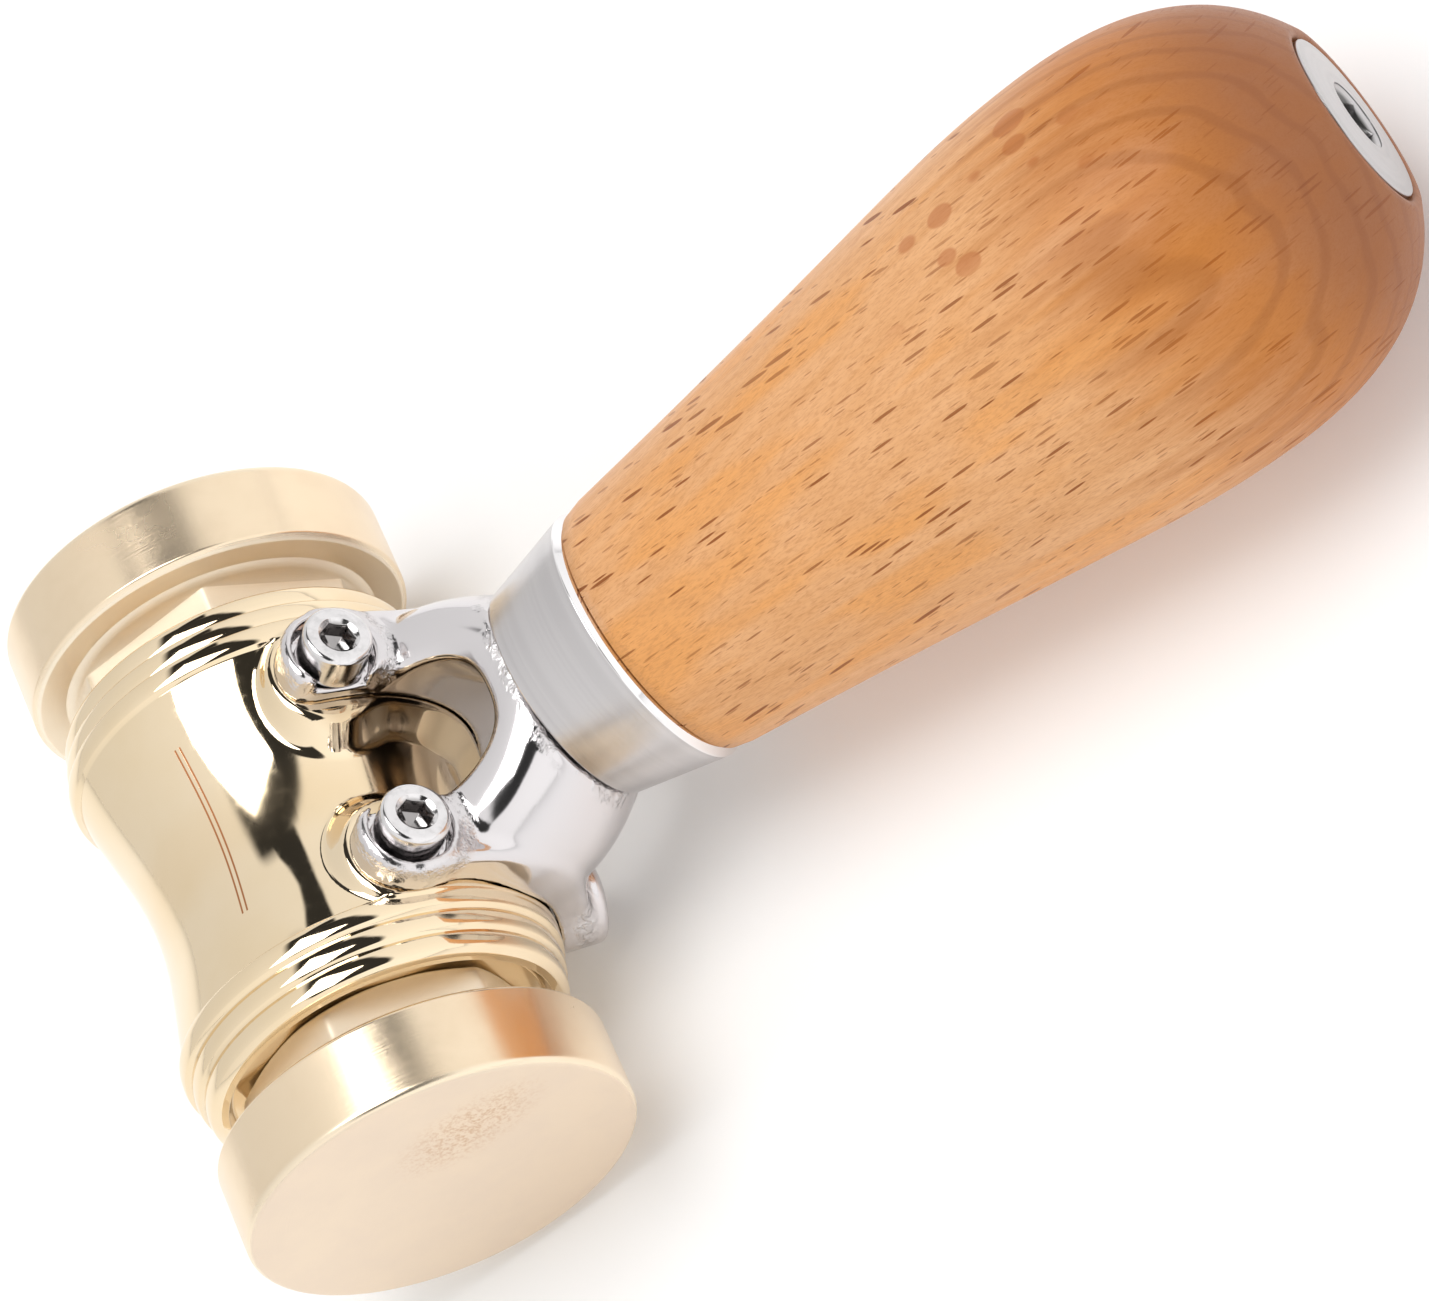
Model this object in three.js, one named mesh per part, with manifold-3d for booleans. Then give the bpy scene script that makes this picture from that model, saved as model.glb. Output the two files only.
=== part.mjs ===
// Carving mallet: a brass head with two screwed striking faces, held by a cast steel yoke on a
// turned beech handle. Millimetres, +Z up. The mallet lies on its side: the handle runs along +X,
// the head's own axis runs along Y, and the handle's bulb rests on Z = 0.
import * as THREE from 'three';
import { mergeVertices } from 'three/addons/utils/BufferGeometryUtils.js';
import Module from 'manifold-3d';

const wasm = await Module();
wasm.setup();

// ---------------------------------------------------------------- driving dimensions
const GAP = 0.3; // between pieces that touch or fit into each other
const ROUND = 60; // segments around a large round
const SMALL_ROUND = 30; // segments around a small round
const HOLE_ROUND = 24; // segments around a screw hole
const ARC_STEPS = 16; // steps along a cut or foot's arc
const CUT = 1; // how far a cutter runs past what it cuts

const FACE = {
  diameter: 40, thickness: 9.2, edge: 0.8, // the struck disc and its edge breaks
  bossMargin: 1.0, bossHeight: 0.8, // conical step behind the disc, round the hexagon
  hexFlats: 27, hexCorner: { near: 21, far: 1 }, // flats, and a corner's angle above the handle
  boreDepth: 14, // threaded bore, from the hexagon's end
};
const HEAD = {
  halfLength: 22.4, // middle to the end rim
  waistRadius: 16.7, shoulderRadius: 19.2, barrelSteps: 8, // concave barrel
  ringRadius: 19.8, ringWidth: 2.1, ringStep: 0.55, ringCount: 3, // stepped rings by each end
  ringRound: 0.45, // a ring's rounding, as a share of its step
  ringCrest: [0.25, 0.65], ringFoot: 0.92, // its crest and foot, as shares of its width
  rimMargin: 0.5, rimWidth: 0.7, // from the last ring to the rim's edge, and the flat rim
  dishClearance: 0.6, dishFlare: 0.7, dishDepth: 1.4, // dished seat round the hexagon
};
const NECK = 5.4; // visible hexagon between the head's rim and the disc's boss
const STUD = { radius: 5, length: 21.5, inFace: 12, chamfer: 0.8, room: 1 }; // room: left past it
const SADDLE = {
  radius: 19.9, from: 7.2, to: 15.2, ledge: 0.9, // raised seat of the yoke
  root: 4, // how deep it is joined into the barrel
};
const SCREW = {
  headRadius: 3.5, headHeight: 4, headEdge: 0.5, socketFlats: 3, socketDepth: 2.2,
  threadRadius: 2, threadLength: 8, angle: 38.5, offset: 10.7, // place on the head
  room: 1, // hole left past its end
  reach: 12, // clear way for a key above its seat
};
const YOKE = {
  footThickness: 3.4, earThickness: 3.2, seatThickness: 1.5, footRoot: 2,
  counterboreClearance: 0.6, earWall: 1.0, // round each cap screw
  neckStep: 0.3, top: 32.5, // under the ferrule
  crownRadius: 15.8, crownDepth: 20, crownHalf: 10.2, // the dome, and half its flat-sided width
  crownRound: [[0, 10], [0.7, 6.5], [1.9, 3.5], [3.4, 1]], // its shoulder: [inset, below the top]
  archTop: 29, archFoot: 18, archPower: 2.5, // window between the arms, a superellipse
  archStart: 10, // where its cutter starts, inside the head
  spigotLength: 2.6, // stub inside the ferrule
};
const FERRULE = { smallRadius: 11.9, bigRadius: 14.2, length: 10.6, chamfer: 0.7, wall: 1.5 };
const HANDLE = {
  length: 84.1, // shoulder to end
  neckStep: 0.1, bulbRadius: 21.5, bulbBeforeEnd: 23.1, endMargin: 1.0, // turned outline
  neckEase: 0.7, bulbEase: 0.22, roundEase: 0.36, endEase: 0.22, endFullness: 0.85, // its curves
  neckSteps: 13, endSteps: 12,
};
const ROD = { radius: 4, inYoke: 4.6, chamfer: 0.6 };
const NUT = {
  radius: 8.9, thickness: 2.8, dome: 0.35, sleeveWall: 1.2, sleeveLength: 12, web: 0.6,
  domeRound: [[0.75, 0.7], [0.5, 1]], // its dome: shares of the radius and of the rise
  socketFlats: 6, rodSetback: 1.2, // the rod stops this far below the nut's plate
};

// ---------------------------------------------------------------- places worked out from them
const radians = THREE.MathUtils.degToRad;
const saddleTop = SADDLE.radius + GAP; // underside of the yoke's feet, from the head's axis
const hexCornerRadius = FACE.hexFlats / Math.sqrt(3);
const hexEnd = HEAD.halfLength - HEAD.dishDepth + GAP; // inner end of each hexagon
const bossRadius = hexCornerRadius + FACE.bossMargin;
const dishRadius = hexCornerRadius + HEAD.dishClearance;
const lipRadius = dishRadius + HEAD.dishFlare;
const ringsStart = HEAD.halfLength - HEAD.rimMargin - HEAD.ringCount * HEAD.ringWidth;
const discBack = HEAD.halfLength + NECK - HEAD.dishDepth; // boss foot behind each disc
const faceFront = discBack + FACE.bossHeight + FACE.thickness;
const studInner = hexEnd + STUD.inFace - STUD.length; // end of the stud inside the head
const counterboreRadius = SCREW.headRadius + YOKE.counterboreClearance;
const earRadius = counterboreRadius + YOKE.earWall;
const screwSeat = saddleTop + YOKE.seatThickness; // under each screw's head
const ferruleStart = YOKE.top + GAP;
const ferruleEnd = ferruleStart + FERRULE.length;
const handleStart = ferruleEnd + GAP;
const handleEnd = handleStart + HANDLE.length;
const ferruleBore = FERRULE.smallRadius - FERRULE.wall;
const spigotRadius = ferruleBore - GAP;
const spigotEnd = YOKE.top + YOKE.spigotLength;
const rodStart = spigotEnd - ROD.inYoke;
const nutPlate = handleEnd - NUT.thickness; // inner side of the nut's round plate
const sleeveRadius = ROD.radius + GAP + NUT.sleeveWall;
const rodEnd = nutPlate - NUT.rodSetback;

// ---------------------------------------------------------------- solids and booleans
// Closed mesh of a geometry as a manifold solid; only shared positions are kept.
function solid(geometry) {
  const bare = geometry.index ? geometry.toNonIndexed() : geometry.clone();
  for (const name of Object.keys(bare.attributes)) {
    if (name !== 'position') bare.deleteAttribute(name);
  }
  const merged = mergeVertices(bare, 1e-4);
  const index = Array.from(merged.index.array);
  const kept = [];
  for (let i = 0; i < index.length; i += 3) {
    const [a, b, c] = index.slice(i, i + 3);
    if (a !== b && b !== c && c !== a) kept.push(a, b, c);
  }
  return new wasm.Manifold(new wasm.Mesh({
    numProp: 3,
    vertProperties: new Float32Array(merged.attributes.position.array),
    triVerts: new Uint32Array(kept),
  }));
}

// Geometry of a manifold solid.
function geometryOf(manifold) {
  const mesh = manifold.getMesh();
  const geometry = new THREE.BufferGeometry();
  geometry.setAttribute('position', new THREE.BufferAttribute(mesh.vertProperties, 3));
  geometry.setIndex(new THREE.BufferAttribute(mesh.triVerts, 1));
  geometry.computeVertexNormals();
  return geometry;
}

// Solid of revolution about Y; points are [radius, height] and end on the axis.
function turned(points, segments = ROUND) {
  const outline = points.map(([r, h]) => new THREE.Vector2(r, h));
  return new THREE.LatheGeometry(outline, segments);
}

// A turned solid laid along +X instead of +Y.
function turnedAlongX(points, segments = ROUND) {
  return turned(points, segments).rotateZ(-Math.PI / 2);
}

// Cylinder along Y between two heights.
function rodAlongY(radius, low, high, segments = SMALL_ROUND) {
  return turned([[0, low], [radius, low], [radius, high], [0, high]], segments);
}

// Cylinder along X between two places.
function rodAlongX(radius, low, high, segments = SMALL_ROUND) {
  return rodAlongY(radius, low, high, segments).rotateZ(-Math.PI / 2);
}

// Hexagonal prism along Y between two heights.
function hexPrism(flats, low, high, turn = 0) {
  const radius = flats / Math.sqrt(3);
  const prism = new THREE.CylinderGeometry(radius, radius, high - low, 6);
  return prism.rotateY(turn).translate(0, (low + high) / 2, 0);
}

// Move a piece built along +Y (its own height measured from the head's axis) to a screw's place.
function toScrewPlace(geometry, alongY, side) {
  geometry.rotateZ(-Math.PI / 2);
  geometry.rotateY(-side * radians(SCREW.angle));
  return geometry.translate(0, alongY * SCREW.offset, 0);
}

const SCREW_PLACES = [
  { name: 'near_upper', alongY: -1, side: 1 },
  { name: 'near_lower', alongY: -1, side: -1 },
  { name: 'far_upper', alongY: 1, side: 1 },
  { name: 'far_lower', alongY: 1, side: -1 },
];

// ---------------------------------------------------------------- striking faces and studs
// Disc, conical boss and wrench hexagon in one piece, facing +Y.
function faceSolid(hexTurn) {
  const radius = FACE.diameter / 2;
  const back = discBack + FACE.bossHeight;
  const disc = solid(turned([
    [0, discBack - GAP],
    [bossRadius - FACE.bossHeight, discBack - GAP],
    [bossRadius - FACE.bossHeight, discBack],
    [bossRadius, back],
    [radius - FACE.edge, back],
    [radius, back + FACE.edge],
    [radius, faceFront - FACE.edge],
    [radius - FACE.edge / 3, faceFront - FACE.edge / 3],
    [radius - FACE.edge, faceFront],
    [0, faceFront],
  ]));
  const hexagon = solid(hexPrism(FACE.hexFlats, hexEnd, back, radians(hexTurn)));
  const bore = solid(rodAlongY(STUD.radius + GAP, hexEnd - CUT, hexEnd + FACE.boreDepth));
  return disc.add(hexagon).subtract(bore);
}

// Threaded steel stud that joins a face to the head, along +Y.
function studSolid() {
  const low = studInner;
  const high = studInner + STUD.length;
  return solid(turned([
    [0, low],
    [STUD.radius - STUD.chamfer, low],
    [STUD.radius, low + STUD.chamfer],
    [STUD.radius, high - STUD.chamfer],
    [STUD.radius - STUD.chamfer, high],
    [0, high],
  ], SMALL_ROUND));
}

// ---------------------------------------------------------------- head
// Half outline of the barrel from its middle to the end rim, as [radius, height].
function barrelOutline() {
  const points = [];
  for (let i = 0; i <= HEAD.barrelSteps; i += 1) {
    const t = i / HEAD.barrelSteps;
    const rise = (1 - Math.cos(Math.PI * t)) / 2;
    const radius = HEAD.waistRadius + (HEAD.shoulderRadius - HEAD.waistRadius) * rise;
    points.push([radius, t * (ringsStart - HEAD.ringStep / 2)]);
  }
  for (let ring = 0; ring < HEAD.ringCount; ring += 1) {
    const radius = HEAD.ringRadius - ring * HEAD.ringStep;
    const start = ringsStart + ring * HEAD.ringWidth;
    const round = HEAD.ringStep * HEAD.ringRound;
    points.push([radius - round, start]);
    for (const share of HEAD.ringCrest) {
      points.push([radius, start + HEAD.ringWidth * share]);
    }
    points.push([radius - round, start + HEAD.ringWidth * HEAD.ringFoot]);
  }
  points.push([lipRadius + HEAD.rimWidth, HEAD.halfLength]);
  points.push([lipRadius, HEAD.halfLength]);
  points.push([dishRadius, HEAD.halfLength - HEAD.dishDepth]);
  return points;
}

// Foot of one arm: a band round the head with a round boss at each screw. They start at the
// inner radius and end at the band and pad radii; grow widens both all round.
function footSolid(alongY, inner, band, pad, grow) {
  const reach = radians(SCREW.angle);
  const shape = new THREE.Shape();
  shape.absarc(0, 0, band, -reach, reach, false);
  shape.absarc(0, 0, inner, reach, -reach, true);
  shape.closePath();
  const width = SADDLE.to - SADDLE.from + 2 * grow;
  const sector = new THREE.ExtrudeGeometry(shape, {
    depth: width, bevelEnabled: false, curveSegments: ARC_STEPS,
  });
  sector.rotateX(Math.PI / 2);
  sector.translate(0, width / 2 + alongY * (SADDLE.from + SADDLE.to) / 2, 0);
  let foot = solid(sector);
  for (const side of [-1, 1]) {
    const round = rodAlongY(earRadius + grow, inner, pad);
    foot = foot.add(solid(toScrewPlace(round, alongY, side)));
  }
  return foot;
}

function headSolid() {
  const half = barrelOutline();
  const mirrored = half.slice(1).reverse().map(([r, h]) => [r, -h]);
  const depth = HEAD.halfLength - HEAD.dishDepth;
  const barrel = solid(turned([[0, -depth], ...mirrored, ...half, [0, depth]]));
  const outer = solid(rodAlongY(SADDLE.radius, -HEAD.halfLength, HEAD.halfLength, ROUND));
  const padRoot = HEAD.waistRadius - SADDLE.root;
  let head = barrel;
  for (const alongY of [-1, 1]) {
    const pad = footSolid(alongY, padRoot, saddleTop, saddleTop, SADDLE.ledge);
    head = head.add(pad.intersect(outer));
  }
  for (const alongY of [-1, 1]) {
    const ends = [alongY * (studInner - STUD.room), alongY * (HEAD.halfLength + CUT)];
    const hole = rodAlongY(STUD.radius + GAP, Math.min(...ends), Math.max(...ends));
    head = head.subtract(solid(hole));
  }
  for (const place of SCREW_PLACES) {
    const end = screwSeat - SCREW.threadLength - SCREW.room;
    const hole = rodAlongY(SCREW.threadRadius + GAP, end, saddleTop + CUT, HOLE_ROUND);
    head = head.subtract(solid(toScrewPlace(hole, place.alongY, place.side)));
  }
  return head;
}

// ---------------------------------------------------------------- yoke and its screws
// Arched window through the yoke, between its arms.
function archSolid() {
  const rise = YOKE.archTop - YOKE.archFoot;
  const half = SADDLE.from;
  const side = [];
  for (let i = 0; i < ARC_STEPS; i += 1) {
    const turn = (Math.PI / 2) * (i / ARC_STEPS);
    const out = half * Math.cos(turn) ** (2 / YOKE.archPower);
    const up = rise * Math.sin(turn) ** (2 / YOKE.archPower);
    side.push([YOKE.archFoot + up, out]);
  }
  const outline = [
    [YOKE.archStart, -half],
    ...side.map(([x, y]) => [x, -y]),
    [YOKE.archTop, 0],
    ...side.reverse(),
    [YOKE.archStart, half],
  ];
  const shape = new THREE.Shape(outline.map(([x, y]) => new THREE.Vector2(x, y)));
  const depth = 4 * YOKE.crownRadius;
  const prism = new THREE.ExtrudeGeometry(shape, { depth, bevelEnabled: false });
  return solid(prism.translate(0, 0, -depth / 2));
}

function yokeSolid() {
  const crownLow = YOKE.top - YOKE.crownDepth;
  const crown = solid(turnedAlongX([
    [0, crownLow],
    [YOKE.crownRadius, crownLow],
    ...YOKE.crownRound.map(([inset, below]) => [YOKE.crownRadius - inset, YOKE.top - below]),
    [FERRULE.smallRadius - YOKE.neckStep, YOKE.top],
    [0, YOKE.top],
  ]));
  const width = 4 * YOKE.crownRadius;
  const slab = new THREE.BoxGeometry(2 * YOKE.crownDepth, width, 2 * YOKE.crownHalf);
  const spigot = rodAlongX(spigotRadius, YOKE.top - YOKE.spigotLength, spigotEnd, ROUND);
  let yoke = crown.intersect(solid(slab.translate(YOKE.top, 0, 0))).add(solid(spigot));
  for (const alongY of [-1, 1]) {
    const band = saddleTop + YOKE.footThickness;
    const ear = saddleTop + YOKE.earThickness;
    yoke = yoke.add(footSolid(alongY, saddleTop - YOKE.footRoot, band, ear, 0));
  }
  const barrel = solid(rodAlongY(saddleTop, -2 * HEAD.halfLength, 2 * HEAD.halfLength, ROUND));
  yoke = yoke.subtract(barrel).subtract(archSolid());
  yoke = yoke.subtract(solid(rodAlongX(ROD.radius + GAP, rodStart - GAP, spigotEnd + CUT)));
  for (const place of SCREW_PLACES) {
    const well = rodAlongY(counterboreRadius, screwSeat - GAP, screwSeat + SCREW.reach);
    const hole = rodAlongY(SCREW.threadRadius + GAP, saddleTop - CUT, screwSeat, HOLE_ROUND);
    yoke = yoke.subtract(solid(toScrewPlace(well, place.alongY, place.side)));
    yoke = yoke.subtract(solid(toScrewPlace(hole, place.alongY, place.side)));
  }
  return yoke;
}

// Socket head cap screw; its axis is +Y and its height is measured from the head's axis.
function screwSolid(place) {
  const top = screwSeat + SCREW.headHeight;
  const body = solid(turned([
    [0, screwSeat - SCREW.threadLength],
    [SCREW.threadRadius, screwSeat - SCREW.threadLength],
    [SCREW.threadRadius, screwSeat],
    [SCREW.headRadius, screwSeat],
    [SCREW.headRadius, top - SCREW.headEdge],
    [SCREW.headRadius - SCREW.headEdge, top],
    [0, top],
  ], SMALL_ROUND));
  const socket = solid(hexPrism(SCREW.socketFlats, top - SCREW.socketDepth, top + CUT));
  return solid(toScrewPlace(geometryOf(body.subtract(socket)), place.alongY, place.side));
}

// ---------------------------------------------------------------- ferrule, handle, rod and nut
function ferruleSolid() {
  const outer = solid(turnedAlongX([
    [0, ferruleStart],
    [FERRULE.smallRadius, ferruleStart],
    [FERRULE.bigRadius, ferruleEnd - FERRULE.chamfer],
    [FERRULE.bigRadius - FERRULE.chamfer, ferruleEnd],
    [0, ferruleEnd],
  ]));
  return outer.subtract(solid(rodAlongX(ferruleBore, ferruleStart - CUT, ferruleEnd + CUT, ROUND)));
}

// Turned outline of the handle from its shoulder to its end, as [radius, height].
function handleOutline() {
  const { bulbRadius } = HANDLE;
  const neckRadius = FERRULE.bigRadius - HANDLE.neckStep;
  const endRadius = NUT.radius + GAP + HANDLE.endMargin;
  const bulbAt = HANDLE.length - HANDLE.bulbBeforeEnd;
  const fullness = endRadius + (bulbRadius - endRadius) * HANDLE.endFullness;
  const swell = bulbRadius - neckRadius;
  const tail = HANDLE.bulbBeforeEnd;
  const neck = new THREE.Vector2(neckRadius, handleStart);
  const bulb = new THREE.Vector2(bulbRadius, handleStart + bulbAt);
  const end = new THREE.Vector2(endRadius, handleEnd);
  const rise = new THREE.CubicBezierCurve(
    neck,
    new THREE.Vector2(neckRadius + swell * HANDLE.neckEase, handleStart + bulbAt * HANDLE.neckEase),
    new THREE.Vector2(bulbRadius, handleStart + bulbAt * (1 - HANDLE.bulbEase)),
    bulb,
  );
  const fall = new THREE.CubicBezierCurve(
    bulb,
    new THREE.Vector2(bulbRadius, bulb.y + tail * HANDLE.roundEase),
    new THREE.Vector2(fullness, handleEnd - tail * HANDLE.endEase),
    end,
  );
  const points = [...rise.getPoints(HANDLE.neckSteps), ...fall.getPoints(HANDLE.endSteps).slice(1)];
  return points.map((point) => [point.x, point.y]);
}

function handleSolid() {
  const tenonStart = spigotEnd + GAP;
  const body = solid(turnedAlongX([
    [0, tenonStart],
    [spigotRadius, tenonStart],
    [spigotRadius, handleStart],
    ...handleOutline(),
    [0, handleEnd],
  ]));
  const bore = solid(rodAlongX(ROD.radius + GAP, tenonStart - CUT, handleEnd + CUT));
  const sleeve = nutPlate - NUT.sleeveLength - GAP;
  const socket = solid(rodAlongX(sleeveRadius + GAP, sleeve, handleEnd + CUT));
  const recess = solid(rodAlongX(NUT.radius + GAP, nutPlate - GAP, handleEnd + CUT, ROUND));
  return body.subtract(bore).subtract(socket).subtract(recess);
}

function rodSolid() {
  return solid(turnedAlongX([
    [0, rodStart],
    [ROD.radius - ROD.chamfer, rodStart],
    [ROD.radius, rodStart + ROD.chamfer],
    [ROD.radius, rodEnd - ROD.chamfer],
    [ROD.radius - ROD.chamfer, rodEnd],
    [0, rodEnd],
  ], SMALL_ROUND));
}

// Round plate with a sleeve that takes the rod and a hexagonal key hole through the plate.
function nutSolid() {
  const body = solid(turnedAlongX([
    [0, nutPlate - NUT.sleeveLength],
    [sleeveRadius, nutPlate - NUT.sleeveLength],
    [sleeveRadius, nutPlate],
    [NUT.radius, nutPlate],
    [NUT.radius, handleEnd],
    ...NUT.domeRound.map(([out, up]) => [NUT.radius * out, handleEnd + NUT.dome * up]),
    [0, handleEnd + NUT.dome],
  ]));
  const sleeveEnd = nutPlate - NUT.sleeveLength;
  const bore = solid(rodAlongX(ROD.radius + GAP, sleeveEnd - CUT, nutPlate - NUT.web));
  const key = hexPrism(NUT.socketFlats, nutPlate - 2 * NUT.web, handleEnd + NUT.dome + CUT);
  return body.subtract(bore).subtract(solid(key.rotateZ(-Math.PI / 2)));
}

// ---------------------------------------------------------------- materials and assembly
function metal(color, roughness) {
  return new THREE.MeshStandardMaterial({ color, roughness, metalness: 1 });
}

const materials = {
  polishedBrass: () => metal(0xe6cf96, 0.08),
  satinBrass: () => metal(0xe2c894, 0.32),
  polishedSteel: () => metal(0xd2d2d6, 0.1),
  satinSteel: () => metal(0xc8c8cb, 0.3),
  darkSteel: () => metal(0x8f9094, 0.4),
  beech: () => new THREE.MeshStandardMaterial({ color: 0xd9a066, roughness: 0.35 }),
};

const group = new THREE.Group();

function addPiece(name, manifold, material) {
  const mesh = new THREE.Mesh(geometryOf(manifold), material);
  mesh.name = name;
  group.add(mesh);
  return mesh;
}

addPiece('head_body', headSolid(), materials.polishedBrass());
for (const side of ['near', 'far']) {
  const flip = side === 'near' ? Math.PI : 0;
  const corner = FACE.hexCorner[side];
  const hexTurn = side === 'near' ? 30 + corner : 30 - corner;
  addPiece(`${side}_face`, faceSolid(hexTurn), materials.satinBrass()).rotation.x = flip;
  addPiece(`${side}_stud`, studSolid(), materials.darkSteel()).rotation.x = flip;
}
addPiece('yoke', yokeSolid(), materials.polishedSteel());
for (const place of SCREW_PLACES) {
  addPiece(`yoke_screw_${place.name}`, screwSolid(place), materials.satinSteel());
}
addPiece('ferrule', ferruleSolid(), materials.satinSteel());
addPiece('handle', handleSolid(), materials.beech());
addPiece('tie_rod', rodSolid(), materials.darkSteel());
addPiece('end_nut', nutSolid(), materials.satinSteel());

// Middle of the length at X = 0, and the lowest side of the bulb on Z = 0.
const lowEnd = -FACE.diameter / 2;
const highEnd = handleEnd + NUT.dome;
group.position.set(-(lowEnd + highEnd) / 2, 0, HANDLE.bulbRadius);

export default group;
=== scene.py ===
"""Looks of a small double-faced carving mallet: brass head, cast steel yoke, beech handle.

Every size is in millimetres in the shop frame, which has its origin in the middle of the brass
head, +X along the handle, Y along the head and +Z up. `Datum` moves it into the model's frame.
"""
import sys
import logging
import math
from abc import ABC, abstractmethod
from collections.abc import Callable, Mapping, Sequence
from dataclasses import dataclass, field
from enum import Enum
from typing import TypeVar

import bpy
import numpy as np
from mathutils import Matrix, Vector


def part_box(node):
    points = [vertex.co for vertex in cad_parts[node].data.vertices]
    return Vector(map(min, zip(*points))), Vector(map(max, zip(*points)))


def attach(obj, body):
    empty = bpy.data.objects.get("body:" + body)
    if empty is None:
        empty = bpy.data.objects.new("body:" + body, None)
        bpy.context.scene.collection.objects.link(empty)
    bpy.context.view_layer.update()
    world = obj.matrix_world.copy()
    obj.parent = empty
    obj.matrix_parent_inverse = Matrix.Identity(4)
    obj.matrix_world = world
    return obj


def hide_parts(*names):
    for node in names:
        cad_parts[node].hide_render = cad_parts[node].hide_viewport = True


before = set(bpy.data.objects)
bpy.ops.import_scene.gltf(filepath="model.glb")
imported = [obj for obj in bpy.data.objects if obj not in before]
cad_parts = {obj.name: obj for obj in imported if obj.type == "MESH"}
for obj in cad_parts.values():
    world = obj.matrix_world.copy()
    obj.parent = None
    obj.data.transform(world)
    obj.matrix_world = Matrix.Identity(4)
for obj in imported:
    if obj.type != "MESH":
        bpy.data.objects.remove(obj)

Array = np.ndarray
Field = TypeVar("Field", Array, "Wire")
Span = tuple[float, float]
Triple = tuple[float, float, float]
Band = Array | tuple[Array, Array]
Wires = tuple["Wire", "Wire", "Wire"]
Sockets = dict[str, object]

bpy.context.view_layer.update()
MM = 0.001
FULL_TURN = 2 * math.pi
NEARLY_STRAIGHT = math.pi - 0.02
FILLET_REACH = 0.46
MARGIN_OF_FILLET, MARGIN_OF_EDGE = 0.3, 0.04
WELD_DECIMALS = 4
ARCH_TOP, ARCH_HALF, ARCH_POWER = 29.0, 7.2, 2.5
log = logging.getLogger("mallet")


class End(Enum):
    """Which end of the head: the near one (-Y) or the far one (+Y)."""

    NEAR = -1
    FAR = 1


class Side(Enum):
    """Which side of the handle a screw sits on: upper (+Z) or lower (-Z)."""

    UPPER = 1
    LOWER = -1


# ------------------------------------------------------------------------------ shop frame


@dataclass(frozen=True)
class Datum:
    """The middle of the head in the model's frame, in metres."""

    origin: Triple

    @classmethod
    def from_frame(cls) -> "Datum":
        """Read the head's axis from the near striking face, which is round about it.

        Returns:
            The datum, with Y = 0 halfway between the two striking faces.
        """
        low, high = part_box("near_face")
        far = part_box("far_face")[1]
        return cls(((low.x + high.x) / 2, (low.y + far.y) / 2, (low.z + high.z) / 2))

    def place(self, points: Array) -> Array:
        """Shop millimetres to metres in the model's frame."""
        return points * MM + np.array(self.origin)


@dataclass(frozen=True)
class Spindle:
    """An axis to turn a piece about: a point on it, its direction, and where angle 0 points."""

    origin: Triple
    along: Triple
    across: Triple

    def points(self, height: Array, radius: Array, angle: Array) -> Array:
        """Cylindrical to shop coordinates: origin + height along + radius across, turned by angle.

        Args:
            height: Distance along the axis, in millimetres.
            radius: Distance from the axis, in millimetres.
            angle: Angle about the axis from `across`, in radians.

        Returns:
            Points as an array that ends in a dimension of 3.
        """
        along = np.array(self.along)
        across = np.array(self.across)
        third = np.cross(along, across)
        height, radius, angle = np.broadcast_arrays(height, radius, angle)
        return (
            np.array(self.origin)
            + height[..., None] * along
            + (radius * np.cos(angle))[..., None] * across
            + (radius * np.sin(angle))[..., None] * third
        )


@dataclass(frozen=True)
class ScrewLine:
    """Where the yoke's screws stand: leant from +X by an angle, and set off along the head."""

    angle: float = 38.5
    offset: float = 10.7

    def measure(self, x: Field, wide: Field, high: Field) -> tuple[Field, Field]:
        """Turn x and z by the lean. It works on arrays and on wires.

        Args:
            x: Place along the handle.
            wide: Distance from the middle along the head.
            high: Distance above or below the middle.

        Returns:
            Height up the nearest screw from the head's axis, and distance from its axis.
        """
        lean = math.radians(self.angle)
        up = x * math.cos(lean) + high * math.sin(lean)
        aside = high * math.cos(lean) - x * math.sin(lean)
        apart = wide - self.offset
        return up, (aside * aside + apart * apart) ** 0.5


SCREW_LINE = ScrewLine()
HANDLE_AXIS = Spindle((0, 0, 0), (1, 0, 0), (0, 1, 0))


def head_axis(end: End) -> Spindle:
    """Axis of the head that points out of the given end, with angle 0 towards the handle."""
    return Spindle((0, 0, 0), (0, end.value, 0), (1, 0, 0))


# ------------------------------------------------------------------------------ curves


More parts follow.
